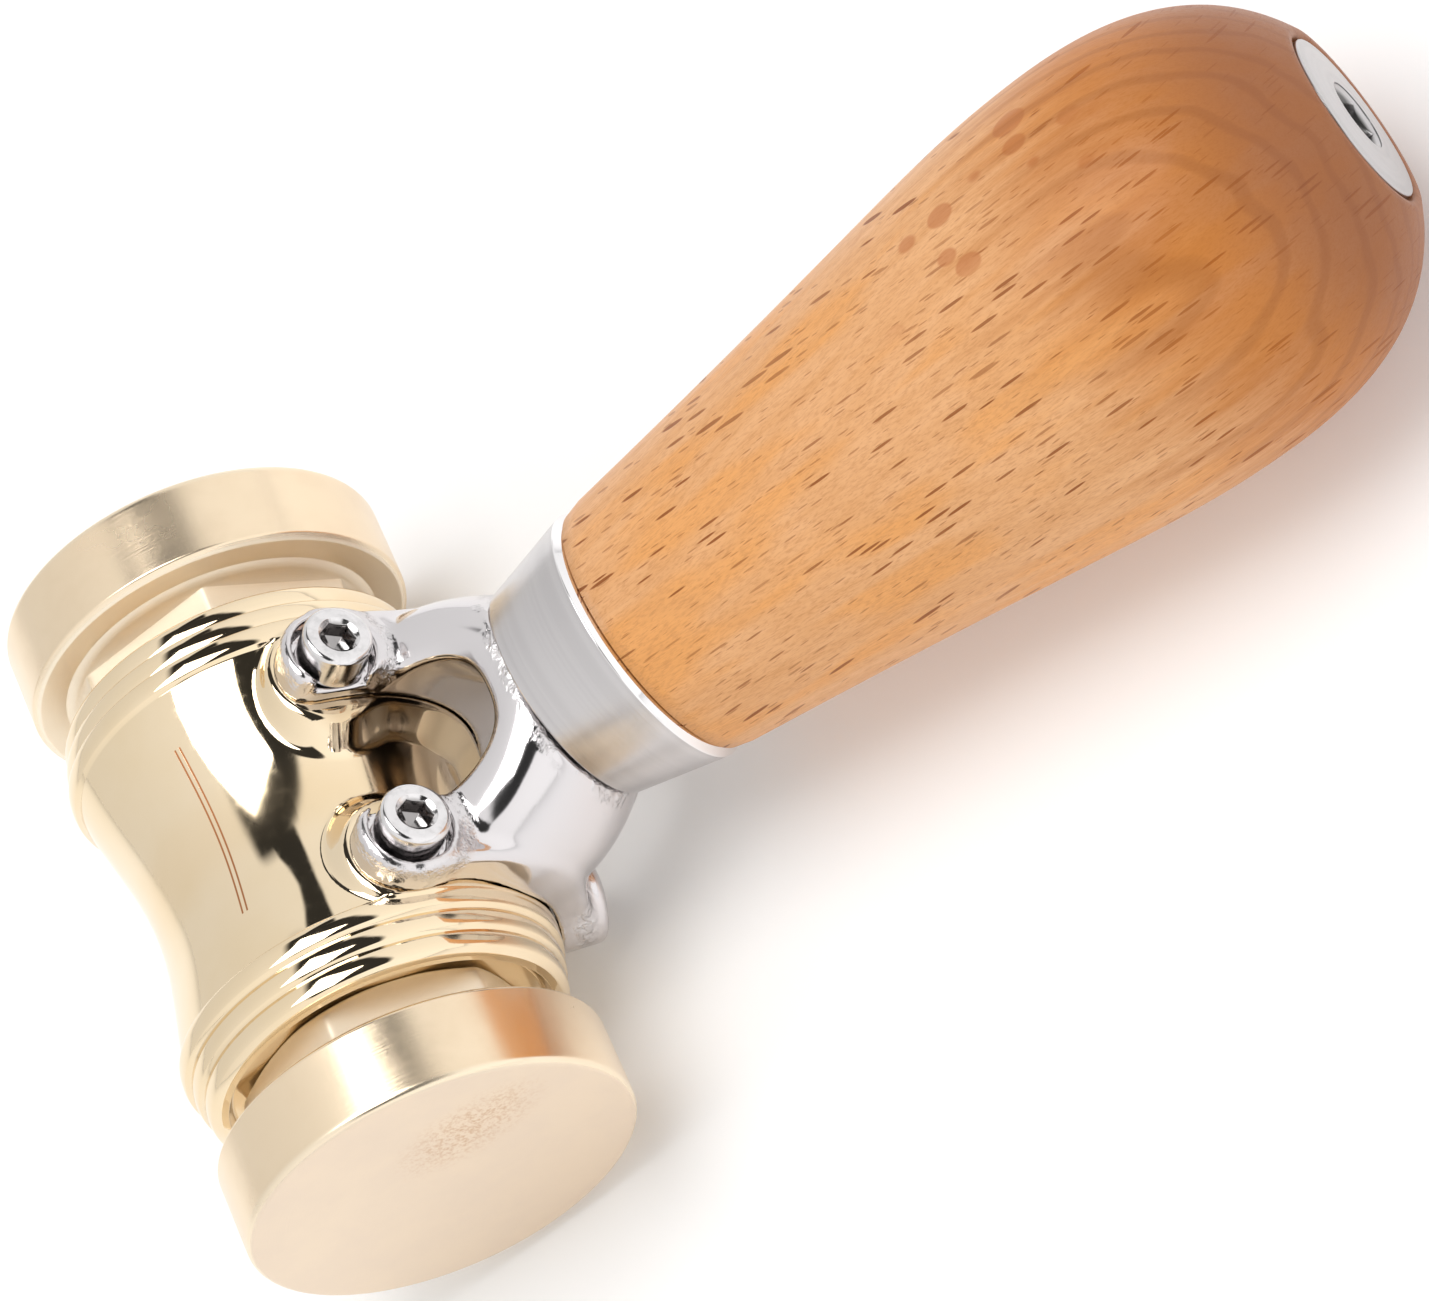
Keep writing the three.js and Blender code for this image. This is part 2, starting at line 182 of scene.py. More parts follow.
def filleted(*runs: Sequence[Triple], steps: int = 6) -> Array:
    """Outline with each corner replaced by an arc that touches both of its edges.

    At a corner P with unit edges u and v that meet at the angle a, the arc of radius r starts
    r / tan(a / 2) along u, ends as far along v, and is centred on the bisector r / sin(a / 2)
    from P. One extra point stands just outside each end of the arc, so that flats shade flat.

    Args:
        runs: Runs of (height, radius, fillet) corners; a fillet of 0 keeps the corner, and one
            too big for its shorter edge is cut down to it.
        steps: Steps along each arc.

    Returns:
        Points of the outline, one row each, as (height, radius).
    """
    table = np.concatenate([np.array(run, float) for run in runs])
    rows = [table[:1, :2]]
    for before, (x, y, fillet), after in zip(table[:-2, :2], table[1:-1], table[2:, :2]):
        corner = np.array((x, y))
        back, onward = before - corner, after - corner
        reach = min(np.linalg.norm(back), np.linalg.norm(onward))
        u, v = back / np.linalg.norm(back), onward / np.linalg.norm(onward)
        spread = math.acos(float(np.clip(u @ v, -1, 1)))
        if fillet <= 0 or spread > NEARLY_STRAIGHT:
            rows.append(corner[None])
            continue
        tangent = min(fillet / math.tan(spread / 2), FILLET_REACH * reach)
        fillet = tangent * math.tan(spread / 2)
        bisector = (u + v) / np.linalg.norm(u + v)
        centre = corner + bisector * fillet / math.sin(spread / 2)
        start, finish = corner + u * tangent - centre, corner + v * tangent - centre
        swept = math.pi - spread
        t = np.linspace(0, 1, steps + 1)[:, None]
        arc = (np.sin((1 - t) * swept) * start + np.sin(t * swept) * finish) / math.sin(swept)
        margin = min(MARGIN_OF_FILLET * fillet, MARGIN_OF_EDGE * reach)
        rows.append((corner + u * (tangent + margin))[None])
        rows.append(centre + arc)
        rows.append((corner + v * (tangent + margin))[None])
    rows.append(table[-1:, :2])
    return np.concatenate(rows)


def bezier(points: Sequence[Span], steps: int) -> Array:
    """Cubic Bezier curve: the four points weighted by (1-t)^3, 3t(1-t)^2, 3t^2(1-t) and t^3.

    Args:
        points: The curve's two ends, and its two guides between them.
        steps: Steps along the curve.

    Returns:
        Points of the curve, one row each.
    """
    t = np.linspace(0, 1, steps + 1)[:, None]
    a, b, c, d = (np.array(point, float) for point in points)
    return a * (1 - t) ** 3 + 3 * b * t * (1 - t) ** 2 + 3 * c * t**2 * (1 - t) + d * t**3


def hexagon(angle: Array, flats: float, corner: float, sharpness: float = 90) -> Array:
    """Radius of a hexagon with slightly rounded corners.

    Half the flats over the p-norm of the cosines to the three pairs of flats.

    Args:
        angle: Angles in radians.
        flats: Size across the flats.
        corner: Angle of one corner, in degrees.
        sharpness: The norm's power; a higher one has tighter corners.

    Returns:
        The radius at each angle.
    """
    flat = np.radians(corner + 30 + np.array((0, 60, 120)))
    cosines = np.abs(np.cos(angle[..., None] - flat))
    return flats / 2 / (cosines**sharpness).sum(-1) ** (1 / sharpness)


def six_sided_angles(count: int, corner: float, gather: float = 0.8) -> Array:
    """Angles round a turn that crowd at a hexagon's corners: t - gather sin(6 t) / 6.

    Args:
        count: How many angles.
        corner: Angle of one corner, in degrees.
        gather: From 0, even, to just under 1.

    Returns:
        Angles in radians.
    """
    t = np.arange(count) * FULL_TURN / count
    return t - gather * np.sin(6 * t) / 6 + math.radians(corner)


def even_angles(count: int) -> Array:
    """Evenly spaced angles round a turn, in radians."""
    return np.arange(count) * FULL_TURN / count


def smooth_max(a: Array, b: Array, width: float) -> Array:
    """The larger of two fields, plus width h^2 / 4 where h = 1 - |a - b| / width is above 0."""
    h = np.clip(1 - np.abs(a - b) / width, 0, None)
    return np.maximum(a, b) + h * h * width / 4


def smooth_min(a: Array, b: Array, width: float) -> Array:
    """The smaller of two fields, rounded where they meet."""
    return -smooth_max(-a, -b, width)


def outside_band(value: Array, low: float, high: float) -> Array:
    """Distance outside the band from low to high: |value - middle| - half its width."""
    return np.abs(value - (low + high) / 2) - (high - low) / 2


def key_hole(six: Array, rim: float, depth: Array, slope: float, blend: float) -> Array:
    """Radius down a key hole: the hexagon, opened at its mouth by a cone.

    Args:
        six: The hexagon's radius at each angle.
        rim: Radius at the first depth.
        depth: Depths, one row each.
        slope: How fast the cone closes.
        blend: Width of the rounding where the cone meets the hexagon.

    Returns:
        The radius, a row for each depth.
    """
    return smooth_max(six, rim - (depth - depth[0]) * slope, blend)


def shade(tint: Triple, share: float) -> Triple:
    """A colour with a share of its light left."""
    return tuple(value * share for value in tint)


def eased(t: Array) -> Array:
    """Smooth step from 0 to 1: 3 t^2 - 2 t^3, with t held between 0 and 1."""
    t = np.clip(t, 0, 1)
    return t * t * (3 - 2 * t)


# ------------------------------------------------------------------------------ meshes


@dataclass
class Skin:
    """A closed skin: points in shop millimetres and the four-cornered faces between them."""

    points: Array
    quads: Array

    @classmethod
    def from_grid(cls, grid: Array, ring: bool = False) -> "Skin":
        """Skin of a grid of points whose columns close round.

        Args:
            grid: Array of rows, columns and 3.
            ring: Whether the last row joins the first, as on a bored piece.

        Returns:
            The skin, with its seam and poles still open.
        """
        rows, columns = grid.shape[:2]
        index = np.arange(rows * columns).reshape(rows, columns)
        index = np.concatenate((index, index[:, :1]), axis=1)
        if ring:
            index = np.concatenate((index, index[:1]), axis=0)
        quads = np.stack(
            (index[:-1, :-1], index[:-1, 1:], index[1:, 1:], index[1:, :-1]), axis=-1
        )
        return cls(grid.reshape(-1, 3), quads.reshape(-1, 4))

    def welded(self) -> tuple[Array, Array, Array]:
        """Merge points closer than a ten-thousandth of a millimetre.

        Returns:
            Points, four-cornered faces, and the three-cornered faces left where a quad's edge
            has closed up, as at a pole.
        """
        _, first, back = np.unique(
            np.round(self.points, WELD_DECIMALS), axis=0, return_index=True, return_inverse=True
        )
        quads = back.reshape(-1)[self.quads]
        same = quads == np.roll(quads, -1, axis=1)
        closed = same.sum(axis=1)
        bent = quads[closed == 1]
        order = (same[closed == 1].argmax(axis=1)[:, None] + np.array((1, 2, 3))) % 4
        return self.points[first], quads[closed == 0], np.take_along_axis(bent, order, axis=1)

    def build(self, name: str, datum: Datum) -> bpy.types.Object:
        """Make the Blender object, with its faces turned outwards.

        Args:
            name: Name of the piece.
            datum: Where the shop frame lies.

        Returns:
            An object at the origin, with its place in its mesh.
        """
        points, quads, triangles = self.welded()
        halves = np.concatenate((quads[:, [0, 1, 2]], quads[:, [0, 2, 3]], triangles))
        a, b, c = (points[halves[:, i]] - points.mean(axis=0) for i in range(3))
        if (a * np.cross(b, c)).sum() < 0:
            quads, triangles = quads[:, ::-1], triangles[:, ::-1]
        mesh = bpy.data.meshes.new(name)
        faces = quads.tolist() + triangles.tolist()
        mesh.from_pydata(datum.place(points).tolist(), [], faces)
        mesh.shade_smooth()
        mesh.update()
        piece = bpy.data.objects.new(name, mesh)
        bpy.context.scene.collection.objects.link(piece)
        log.info("%s: %d points, %d faces", name, len(points), len(faces))
        return piece


def turned(spindle: Spindle, angle: Array, *bands: Band, ring: bool = False) -> Skin:
    """Bands of rows carried round the spindle, one after the other.

    Args:
        spindle: The axis to turn about.
        angle: Angle of each column.
        bands: Outlines with a (height, radius) in each row, or pairs of heights, as one column,
            and radii, a column for each angle.
        ring: Whether the last row joins the first.

    Returns:
        The skin.
    """
    pairs = [band if isinstance(band, tuple) else (band[:, :1], band[:, 1:]) for band in bands]
    heights, radii = (
        np.concatenate([np.broadcast_to(rows, (len(rows), len(angle))) for rows in column])
        for column in zip(*pairs)
    )
    return Skin.from_grid(spindle.points(heights, radii, angle), ring)


def net_of_field(
    field_of: Callable[[Array], Array],
    low: Sequence[float],
    high: Sequence[float],
    step: float,
) -> Skin:
    """Skin of the zero level of a field, negative inside, by surface nets.

    Each cell of a lattice that the surface crosses gets one point, the mean of the crossings on
    its twelve edges. Each lattice edge that it crosses gets a face between its four cells. The
    points then slide down the field's gradient on to the surface.

    Args:
        field_of: Signed distance, roughly, of an array of points.
        low: Lowest corner of the lattice.
        high: Highest corner of the lattice.
        step: Size of a cell.

    Returns:
        The skin.
    """
    axes = [np.arange(a, b + step, step) for a, b in zip(low, high)]
    lattice = np.stack(np.meshgrid(*axes, indexing="ij"), axis=-1)
    value = field_of(lattice.reshape(-1, 3)).reshape(lattice.shape[:3])
    inside = value < 0
    cells = tuple(n - 1 for n in value.shape)
    corners = [(i, j, k) for i in (0, 1) for j in (0, 1) for k in (0, 1)]
    stack = np.stack(
        [inside[i : i + cells[0], j : j + cells[1], k : k + cells[2]] for i, j, k in corners]
    )
    where = np.argwhere(stack.any(axis=0) & ~stack.all(axis=0))
    total = np.zeros((len(where), 3))
    count = np.zeros((len(where), 1))
    for first in corners:
        for second in corners:
            if sum(abs(p - q) for p, q in zip(first, second)) != 1 or first > second:
                continue
            a = value[tuple((where + first).T)]
            b = value[tuple((where + second).T)]
            cut = ((a < 0) != (b < 0))[:, None]
            t = (a / np.where(a == b, 1, a - b))[:, None]
            total += np.where(cut, np.array(first) + t * (np.array(second) - first), 0)
            count += cut
    points = (where + total / count) * step + np.array(low)
    number = np.full(cells, -1)
    number[tuple(where.T)] = np.arange(len(where))
    faces = []
    for axis in range(3):
        u, v = (axis + 1) % 3, (axis + 2) % 3
        ahead = np.roll(inside, -1, axis=axis)
        crossed = inside != ahead
        crossed[tuple(slice(-1, None) if d == axis else slice(None) for d in range(3))] = False
        place = np.argwhere(crossed)
        starts_inside = inside[tuple(place.T)]
        step_u, step_v = np.eye(3, dtype=int)[u], np.eye(3, dtype=int)[v]
        around = (place, place - step_u, place - step_u - step_v, place - step_v)
        quad = np.stack([number[tuple(cell.T)] for cell in around], axis=1)
        faces.append(np.where(starts_inside[:, None], quad, quad[:, ::-1]))
    nudge, slides, flattest = 0.01, 3, 0.2
    for _ in range(slides):
        rises = [field_of(points + d) - field_of(points - d) for d in nudge * np.eye(3)]
        slope = np.stack(rises, axis=1) / (2 * nudge)
        steep = np.maximum((slope**2).sum(1, keepdims=True), flattest)
        shift = -field_of(points)[:, None] * slope / steep
        points = points + np.clip(shift, -step / 2, step / 2)
    return Skin(points, np.concatenate(faces))


# ------------------------------------------------------------------------------ shading


def maths(operation: str, flipped: bool = False) -> Callable[..., "Wire"]:
    """Make a method of Wire that adds one Math node.

    Args:
        operation: The node's operation.
        flipped: Whether the wire itself comes last, as when a number stands before it.

    Returns:
        The method.
    """

    def method(self: "Wire", *others: "Wire | float") -> "Wire":
        """Add the Math node and return its result."""
        values = (*others, self) if flipped else (self, *others)
        return self.board.add("ShaderNodeMath", {"operation": operation}, dict(enumerate(values)))

    return method


class Wire:
    """A socket in a node tree. Arithmetic on it adds Math nodes."""

    def __init__(self, board: "Board", socket: bpy.types.NodeSocket) -> None:
        """Keep the tree and the socket."""
        self.board = board
        self.socket = socket

    __add__ = __radd__ = maths("ADD")
    __sub__ = maths("SUBTRACT")
    __rsub__ = maths("SUBTRACT", flipped=True)
    __mul__ = __rmul__ = maths("MULTIPLY")
    __truediv__ = maths("DIVIDE")
    __pow__ = maths("POWER")
    __abs__ = maths("ABSOLUTE")
    sine = maths("SINE")
    above = maths("GREATER_THAN")
    larger = maths("MAXIMUM")
    smaller = maths("MINIMUM")

    def hypot(self, other: "Wire") -> "Wire":
        """Length of the two as legs of a right angle."""
        return (self * self + other * other) ** 0.5

    def fade(self, start: float, stop: float, low: float = 0.0, high: float = 1.0) -> "Wire":
        """Ease from `low` at `start` to `high` at `stop`, and hold beyond them."""
        settings = {"interpolation_type": "SMOOTHSTEP", "clamp": True}
        values = dict(enumerate((self, start, stop, low, high)))
        return self.board.add("ShaderNodeMapRange", settings, values)


class Board:
    """A node tree, with one method that adds any node."""

    def __init__(self, tree: bpy.types.NodeTree) -> None:
        """Start from an empty tree."""
        self.tree = tree
        tree.nodes.clear()

    def add(
        self,
        kind: str,
        settings: Mapping[str, object] | None = None,
        values: Mapping[int | str, object] | None = None,
        output: int | str = 0,
    ) -> Wire | None:
        """Add a node: its settings first, then what goes into its sockets.

        Args:
            kind: The node's type.
            settings: The node's properties.
            values: Sockets, by number or name, to a number, a colour or a Wire.
            output: Socket to return.

        Returns:
            The chosen output, or nothing for a node that has none.
        """
        node = self.tree.nodes.new(kind)
        for key, value in (settings or {}).items():
            setattr(node, key, value)
        for key, value in (values or {}).items():
            if isinstance(value, Wire):
                self.tree.links.new(value.socket, node.inputs[key])
            else:
                node.inputs[key].default_value = value
        return Wire(self, node.outputs[output]) if len(node.outputs) else None

    def shop(self, datum: Datum) -> Wire:
        """Object coordinates, moved and scaled to the shop frame.

        Args:
            datum: Where the shop frame lies.

        Returns:
            The place in shop millimetres.
        """
        place = self.add("ShaderNodeTexCoord", output="Object")
        origin = [-value / MM for value in datum.origin]
        values = {"Vector": place, "Location": origin, "Scale": [1 / MM] * 3}
        return self.add("ShaderNodeMapping", {}, values)

    def split(self, vector: Wire) -> tuple[Wire, Wire, Wire]:
        """The three parts of a vector."""
        outputs = self.add("ShaderNodeSeparateXYZ", {}, {0: vector}).socket.node.outputs
        return Wire(self, outputs[0]), Wire(self, outputs[1]), Wire(self, outputs[2])

    def join(self, x: Wire | float, y: Wire | float, z: Wire | float = 0.0) -> Wire:
        """A vector of three parts."""
        return self.add("ShaderNodeCombineXYZ", {}, {0: x, 1: y, 2: z})

    def stretch(self, place: Wires, pace: Triple, offset: float = 0.0) -> Wire:
        """A vector of three places, each times its own cycles a millimetre."""
        x, y, z = (wire * cycles for wire, cycles in zip(place, pace))
        return self.join(x + offset, y, z)

    def noise(self, vector: Wire, scale: float, detail: float = 2.0, rough: float = 0.5) -> Wire:
        """Smooth noise, about 0 to 1 round 0.5; scale is in cycles a unit."""
        values = {"Vector": vector, "Scale": scale, "Detail": detail, "Roughness": rough}
        return self.add("ShaderNodeTexNoise", {}, values)

    def cells(self, vector: Wire, scale: float = 1.0) -> Wire:
        """Distance to the middle of the nearest of many scattered cells."""
        values = {"Vector": vector, "Scale": scale}
        return self.add("ShaderNodeTexVoronoi", {"feature": "F1"}, values)

    def paint(self, base: Wire | Triple, *coats: tuple[Wire, Triple]) -> Wire:
        """Lay coats over a colour, one after the other, each as thick as its mask.

        A Mix node's socket 0 is its factor, 6 and 7 are its colours, and its output 2 a colour.

        Args:
            base: The colour underneath.
            coats: Pairs of a mask, from 0 to 1, and a colour.

        Returns:
            The colour on top.
        """
        for mask, colour in coats:
            under = base if isinstance(base, Wire) else (*base, 1.0)
            values = {0: mask, 6: under, 7: (*colour, 1.0)}
            base = self.add("ShaderNodeMix", {"data_type": "RGBA"}, values, 2)
        return base

    def bump(self, height: Wire, relief: float) -> Wire:
        """Normal of a surface raised by height times relief, in metres."""
        values = {"Height": height, "Distance": relief, "Strength": 1.0}
        return self.add("ShaderNodeBump", {}, values)

    def metal(self, tint: Wire, rough: Wire, height: Wire, relief: float) -> Sockets:
        """Shader sockets of a bare metal raised by height times relief."""
        normal = self.bump(height, relief)
        return {"Base Color": tint, "Metallic": 1.0, "Roughness": rough, "Normal": normal}


@dataclass(frozen=True)
class Finish(ABC):
    """A surface finish: its name, and the record's material slot it belongs to."""

    name: str
    slot: str

    @abstractmethod
    def surface(self, board: Board, place: Wire) -> Sockets:
        """Work out the shader's sockets from the place in shop millimetres.

        Args:
            board: Tree to add nodes to.
            place: Position in shop millimetres.

        Returns:
            Values and links for the Principled shader.
        """

    def material(self, datum: Datum) -> bpy.types.Material:
        """Make the material, or return it if it has been made.

        Args:
            datum: Where the shop frame lies.

        Returns:
            The material.
        """
        if self.name in bpy.data.materials:
            return bpy.data.materials[self.name]
        material = bpy.data.materials.new(self.name)
        material.use_nodes = True
        board = Board(material.node_tree)
        sockets = self.surface(board, board.shop(datum))
        shader = board.add("ShaderNodeBsdfPrincipled", {}, sockets)
        board.add("ShaderNodeOutputMaterial", {}, {"Surface": shader})
        return material


@dataclass(frozen=True)
class MirrorBrass(Finish):
    """Polished cast brass with faint polishing waves and an engraved double line."""

    tint: Triple = (0.90, 0.745, 0.53)
    clouded: Triple = (0.873, 0.70775, 0.477)
    recess_tint: Triple = (0.84, 0.60, 0.33)
    shaded: Triple = (0.50, 0.34, 0.17)
    polish: float = 0.045
    recess_height: Span = (22.3, 21.2)
    recess_radius: Span = (17.2, 16.4)
    saddle_from: Span = (13.0, 15.5)
    saddle_half: Span = (7.6, 6.4)
    line_tint: Triple = (0.42, 0.17, 0.07)
    line_places: Span = (0.05, 0.62)
    line_ends: Span = (-9.6, 9.9)
    line_width: float = 0.13
    relief: float = 0.000014

    def surface(self, board: Board, place: Wire) -> Sockets:
        """Painted shade darkens the saddle under the yoke, the end recess has a darker, oranger
        tint, and a line is cut on the barrel.

        Args:
            board: Tree to add nodes to.
            place: Position in shop millimetres.

        Returns:
            Values and links for the Principled shader.
        """
        x, y, z = board.split(place)
        cloud = board.noise(place, 0.09, 3.0)
        smear = board.noise(place, 0.8, 4.0, 0.65)
        waves = board.noise(place, 0.22, 1.0)
        recess = abs(y).fade(*self.recess_height) * x.hypot(z).fade(*self.recess_radius)
        saddle = x.fade(*self.saddle_from) * abs(y).fade(*self.saddle_half)
        start, stop = self.line_ends
        half = (stop - start) / 2
        first, second = (abs(x - at) for at in self.line_places)
        line = first.smaller(second).fade(self.line_width, self.line_width / 2)
        line = line * abs(y - (start + stop) / 2).fade(half + 0.1, half) * z.above(0.0)
        tint = board.paint(
            self.tint,
            (cloud.fade(0.3, 0.7), self.clouded),
            # a darker, oranger tint and a slightly rougher finish in the end recess
            (recess * 0.3, self.recess_tint),
            # painted shade: the saddle between the yoke's feet is darkened, as if the yoke shaded
            # it
            (saddle * 0.5, self.shaded),
            (line, self.line_tint),
        )
        rough = smear.fade(0.45, 0.8, self.polish, self.polish + 0.05)
        rough = rough + line * 0.3 + recess * 0.1
        return board.metal(tint, rough, waves + smear * 0.01 - line * 0.3, self.relief)


@dataclass(frozen=True)
class TurnedBrass(Finish):
    """Satin brass straight off the lathe, with turning marks and handling stains."""

    tint: Triple = (0.90, 0.735, 0.53)
    clouded: Triple = (0.86, 0.69, 0.49)
    rubbed: Triple = (0.95, 0.84, 0.66)
    painted_fill_light: Triple = (1.0, 0.91, 0.76)
    matt: Triple = (0.80, 0.665, 0.53)
    edge_radius: Span = (19.25, 19.75)
    edge_height: Span = (35.4, 36.0)
    back_radius: Span = (18.8, 19.6)
    back_height: Span = (28.0, 27.3)
    face_height: Span = (36.2, 36.35)
    hexagon_height: Span = (27.5, 27.3)
    stain: Triple = (0.66, 0.44, 0.28)
    stain_at: Triple = (7.5, -36.4, 6.0)
    stain_reach: Span = (10.5, 2.0)
    stain_squash: float = 1.7
    relief: float = 0.00001

    def surface(self, board: Board, place: Wire) -> Sockets:
        """Turning marks depend only on the height and radius, so they run round the piece.

        Args:
            board: Tree to add nodes to.
            place: Position in shop millimetres.

        Returns:
            Values and links for the Principled shader.
        """
        x, y, z = board.split(place)
        radius, height = x.hypot(z), abs(y)
        groove = board.noise(board.join(y, radius), 5.5, 2.0, 0.7)
        fine = board.noise(board.join(y * 3.0, radius * 3.0), 6.0, 1.0, 0.5)
        cloud = board.noise(place, 0.13, 4.0, 0.6)
        grain = board.noise(place, 2.4, 5.0, 0.7)
        stain_x, stain_y, stain_z = self.stain_at
        apart = (x - stain_x).hypot((z - stain_z) * self.stain_squash)
        patch = apart.fade(*self.stain_reach) * abs(y - stain_y).fade(0.6, 0.1)
        mottle = patch * grain.fade(0.42, 0.66)
        edge = radius.fade(*self.edge_radius) * height.fade(*self.edge_height)
        back = height.fade(*self.back_height) * radius.fade(*self.back_radius)
        face, behind = height.fade(*self.face_height), height.fade(*self.hexagon_height)
        tint = board.paint(
            self.tint,
            (cloud.fade(0.35, 0.75), self.clouded),
            ((edge + back) * 0.5, self.rubbed),
            # painted light: the hexagon and the back of the disc, which sit in shade, are tinted
            # brighter; they are also made rougher
            (behind * 0.8, self.painted_fill_light),
            (face * cloud.fade(0.3, 0.7, 0.75, 1.0), self.matt),
            (mottle * 0.8, self.stain),
        )
        rough = cloud.fade(0.3, 0.8, 0.22, 0.29) + mottle * 0.2 + face * 0.12 + behind * 0.3
        marks = groove * 0.7 + fine * 0.35 + patch * grain * 0.9
        return board.metal(tint, rough, marks, self.relief)


@dataclass(frozen=True)
class CastSteel(Finish):
    """Polished steel casting, with rough patches left by the tool in its corners."""

    tint: Triple = (0.72, 0.69, 0.695)
    scraped: Triple = (0.62, 0.6, 0.6)
    window_painted_shade: Triple = (0.30, 0.275, 0.265)
    junction: Span = (30.6, 31.9)
    ear_foot_radius: float = 5.7
    ear_foot_top: Span = (24.4, 23.0)
    ear_foot_bottom: Span = (20.5, 22.4)
    ear_top: Span = (23.1, 23.35)
    ear_top_radius: Span = (5.3, 4.9)
    relief: float = 0.00011

    def surface(self, board: Board, place: Wire) -> Sockets:
        """Mirror polish with slow waves; rough beside the ferrule and at the foot of each ear;
        painted shade darkens the wall under the arch.

        Args:
            board: Tree to add nodes to.
            place: Position in shop millimetres.

        Returns:
            Values and links for the Principled shader.
        """
        x, y, z = board.split(place)
        up, from_screw = SCREW_LINE.measure(x, abs(y), abs(z))
        chips = board.noise(place, 0.9, 4.0, 0.65)
        patchy = board.noise(place, 0.28, 2.0)
        pebbles = board.noise(place, 1.1, 2.0)
        foot = abs(from_screw - self.ear_foot_radius).fade(1.1, 0.2)
        foot = foot * up.fade(*self.ear_foot_top) * up.fade(*self.ear_foot_bottom)
        junction = x.fade(*self.junction) * patchy.fade(0.42, 0.56)
        rough_zone = foot.larger(junction) * chips.fade(0.35, 0.55)
        ear_top = up.fade(*self.ear_top) * from_screw.fade(*self.ear_top_radius)
        arch = (x / ARCH_TOP) ** ARCH_POWER + (abs(y) / ARCH_HALF) ** ARCH_POWER
        # painted shade: the concave wall between the arms, under the arch, is darkened
        inner = arch.fade(1.32, 1.12) * x.fade(ARCH_TOP + 0.6, ARCH_TOP + 0.2)
        tint = board.paint(self.tint, (rough_zone * 0.5, self.scraped), (inner * 0.75, self.window_painted_shade))
        rough = rough_zone * 0.16 + ear_top * 0.1 + inner * 0.1 + 0.11
        height = board.noise(place, 0.17, 1.5) + pebbles * 0.012 + ear_top * chips * 0.12
        height = height + rough_zone * (chips * 1.1 + board.cells(place, 1.5) * 0.7)
        return board.metal(tint, rough, height, self.relief)


@dataclass(frozen=True)
class SatinSteel(Finish):
    """Turned and brushed steel, with a polished chamfer tinted brighter as a painted highlight, and
    painted shade darkening the hole on the axis.
    """

    tint: Triple = (0.63, 0.605, 0.605)
    polish: float = 0.24
    chamfer: Span = (42.55, 43.5)
    dull: float = 0.93
    bright: Triple = (0.9, 0.88, 0.88)
    hole: Triple = (0.10, 0.10, 0.095)
    hole_shade_radius: Span = (3.45, 3.1)
    relief: float = 0.000008

    def surface(self, board: Board, place: Wire) -> Sockets:
        """Brush marks depend on the height and radius, so they run round the piece.

        Args:
            board: Tree to add nodes to.
            place: Position in shop millimetres.

        Returns:
            Values and links for the Principled shader.
        """
        x, y, z = board.split(place)
        radius = y.hypot(z)
        brush = board.noise(board.join(x, radius), 7.0, 3.0, 0.75)
        broad = board.noise(board.join(x, radius), 0.9, 2.0)
        scuff = board.noise(place, 0.6, 5.0, 0.7)
        start, stop = self.chamfer
        bright = x.fade(start, start + 0.12) * x.fade(stop + 0.1, stop)
        matt = 1.0 - bright
        tint = board.paint(
            self.tint,
            (broad.fade(0.35, 0.7), shade(self.tint, self.dull)),
            # painted highlight: the chamfer is tinted far brighter than the steel; its lower
            # roughness is real polish
            (bright, self.bright),
            # painted shade: the inside of the hole on the axis is darkened
            (radius.fade(*self.hole_shade_radius) * 0.85, self.hole),
        )
        rough = matt * (self.polish - 0.08) + 0.07 + scuff.fade(0.5, 0.75, 0.0, 0.05)
        height = (brush * 0.8 + scuff * 0.15) * (matt * 0.92 + 0.08)
        return board.metal(tint, rough, height, self.relief)


@dataclass(frozen=True)
class ScrewSteel(Finish):
    """Bright stainless screw with a darker tint down its socket."""

    tint: Triple = (0.78, 0.76, 0.76)
    dull: float = 0.86
    socket_tint: Triple = (0.22, 0.205, 0.2)
    socket_radius: Span = (1.95, 1.7)
    socket_height: Span = (25.62, 25.2)
    relief: float = 0.000006

    def surface(self, board: Board, place: Wire) -> Sockets:
        """Bright steel, with fine scratches and slightly mottled roughness.

        Args:
            board: Tree to add nodes to.
            place: Position in shop millimetres.

        Returns:
            Values and links for the Principled shader.
        """
        x, y, z = board.split(place)
        up, from_screw = SCREW_LINE.measure(x, abs(y), abs(z))
        socket = from_screw.fade(*self.socket_radius) * up.fade(*self.socket_height)
        scratch = board.noise(place, 5.0, 4.0, 0.7)
        cloud = board.noise(place, 1.0, 3.0)
        dull = shade(self.tint, self.dull)
        # a darker tint down the socket
        tint = board.paint(self.tint, (cloud.fade(0.4, 0.75), dull), (socket * 0.75, self.socket_tint))
        return board.metal(tint, cloud.fade(0.3, 0.7, 0.09, 0.17), scratch, self.relief)


@dataclass(frozen=True)
class ThreadSteel(Finish):
    """Zinc-plated threaded rod, with oil in its threads."""

    tint: Triple = (0.46, 0.46, 0.47)
    oily: Triple = (0.26, 0.25, 0.25)
    relief: float = 0.00001

    def surface(self, board: Board, place: Wire) -> Sockets:
        """Greyish plate, darker in clouds, with a fine grain.

        Args:
            board: Tree to add nodes to.
            place: Position in shop millimetres.

        Returns:
            Values and links for the Principled shader.
        """
        cloud = board.noise(place, 0.5, 4.0, 0.6)
        grain = board.noise(place, 6.0, 3.0, 0.7)
        tint = board.paint(self.tint, (cloud.fade(0.35, 0.7), self.oily))
        return board.metal(tint, cloud.fade(0.3, 0.7, 0.24, 0.4), grain, self.relief)


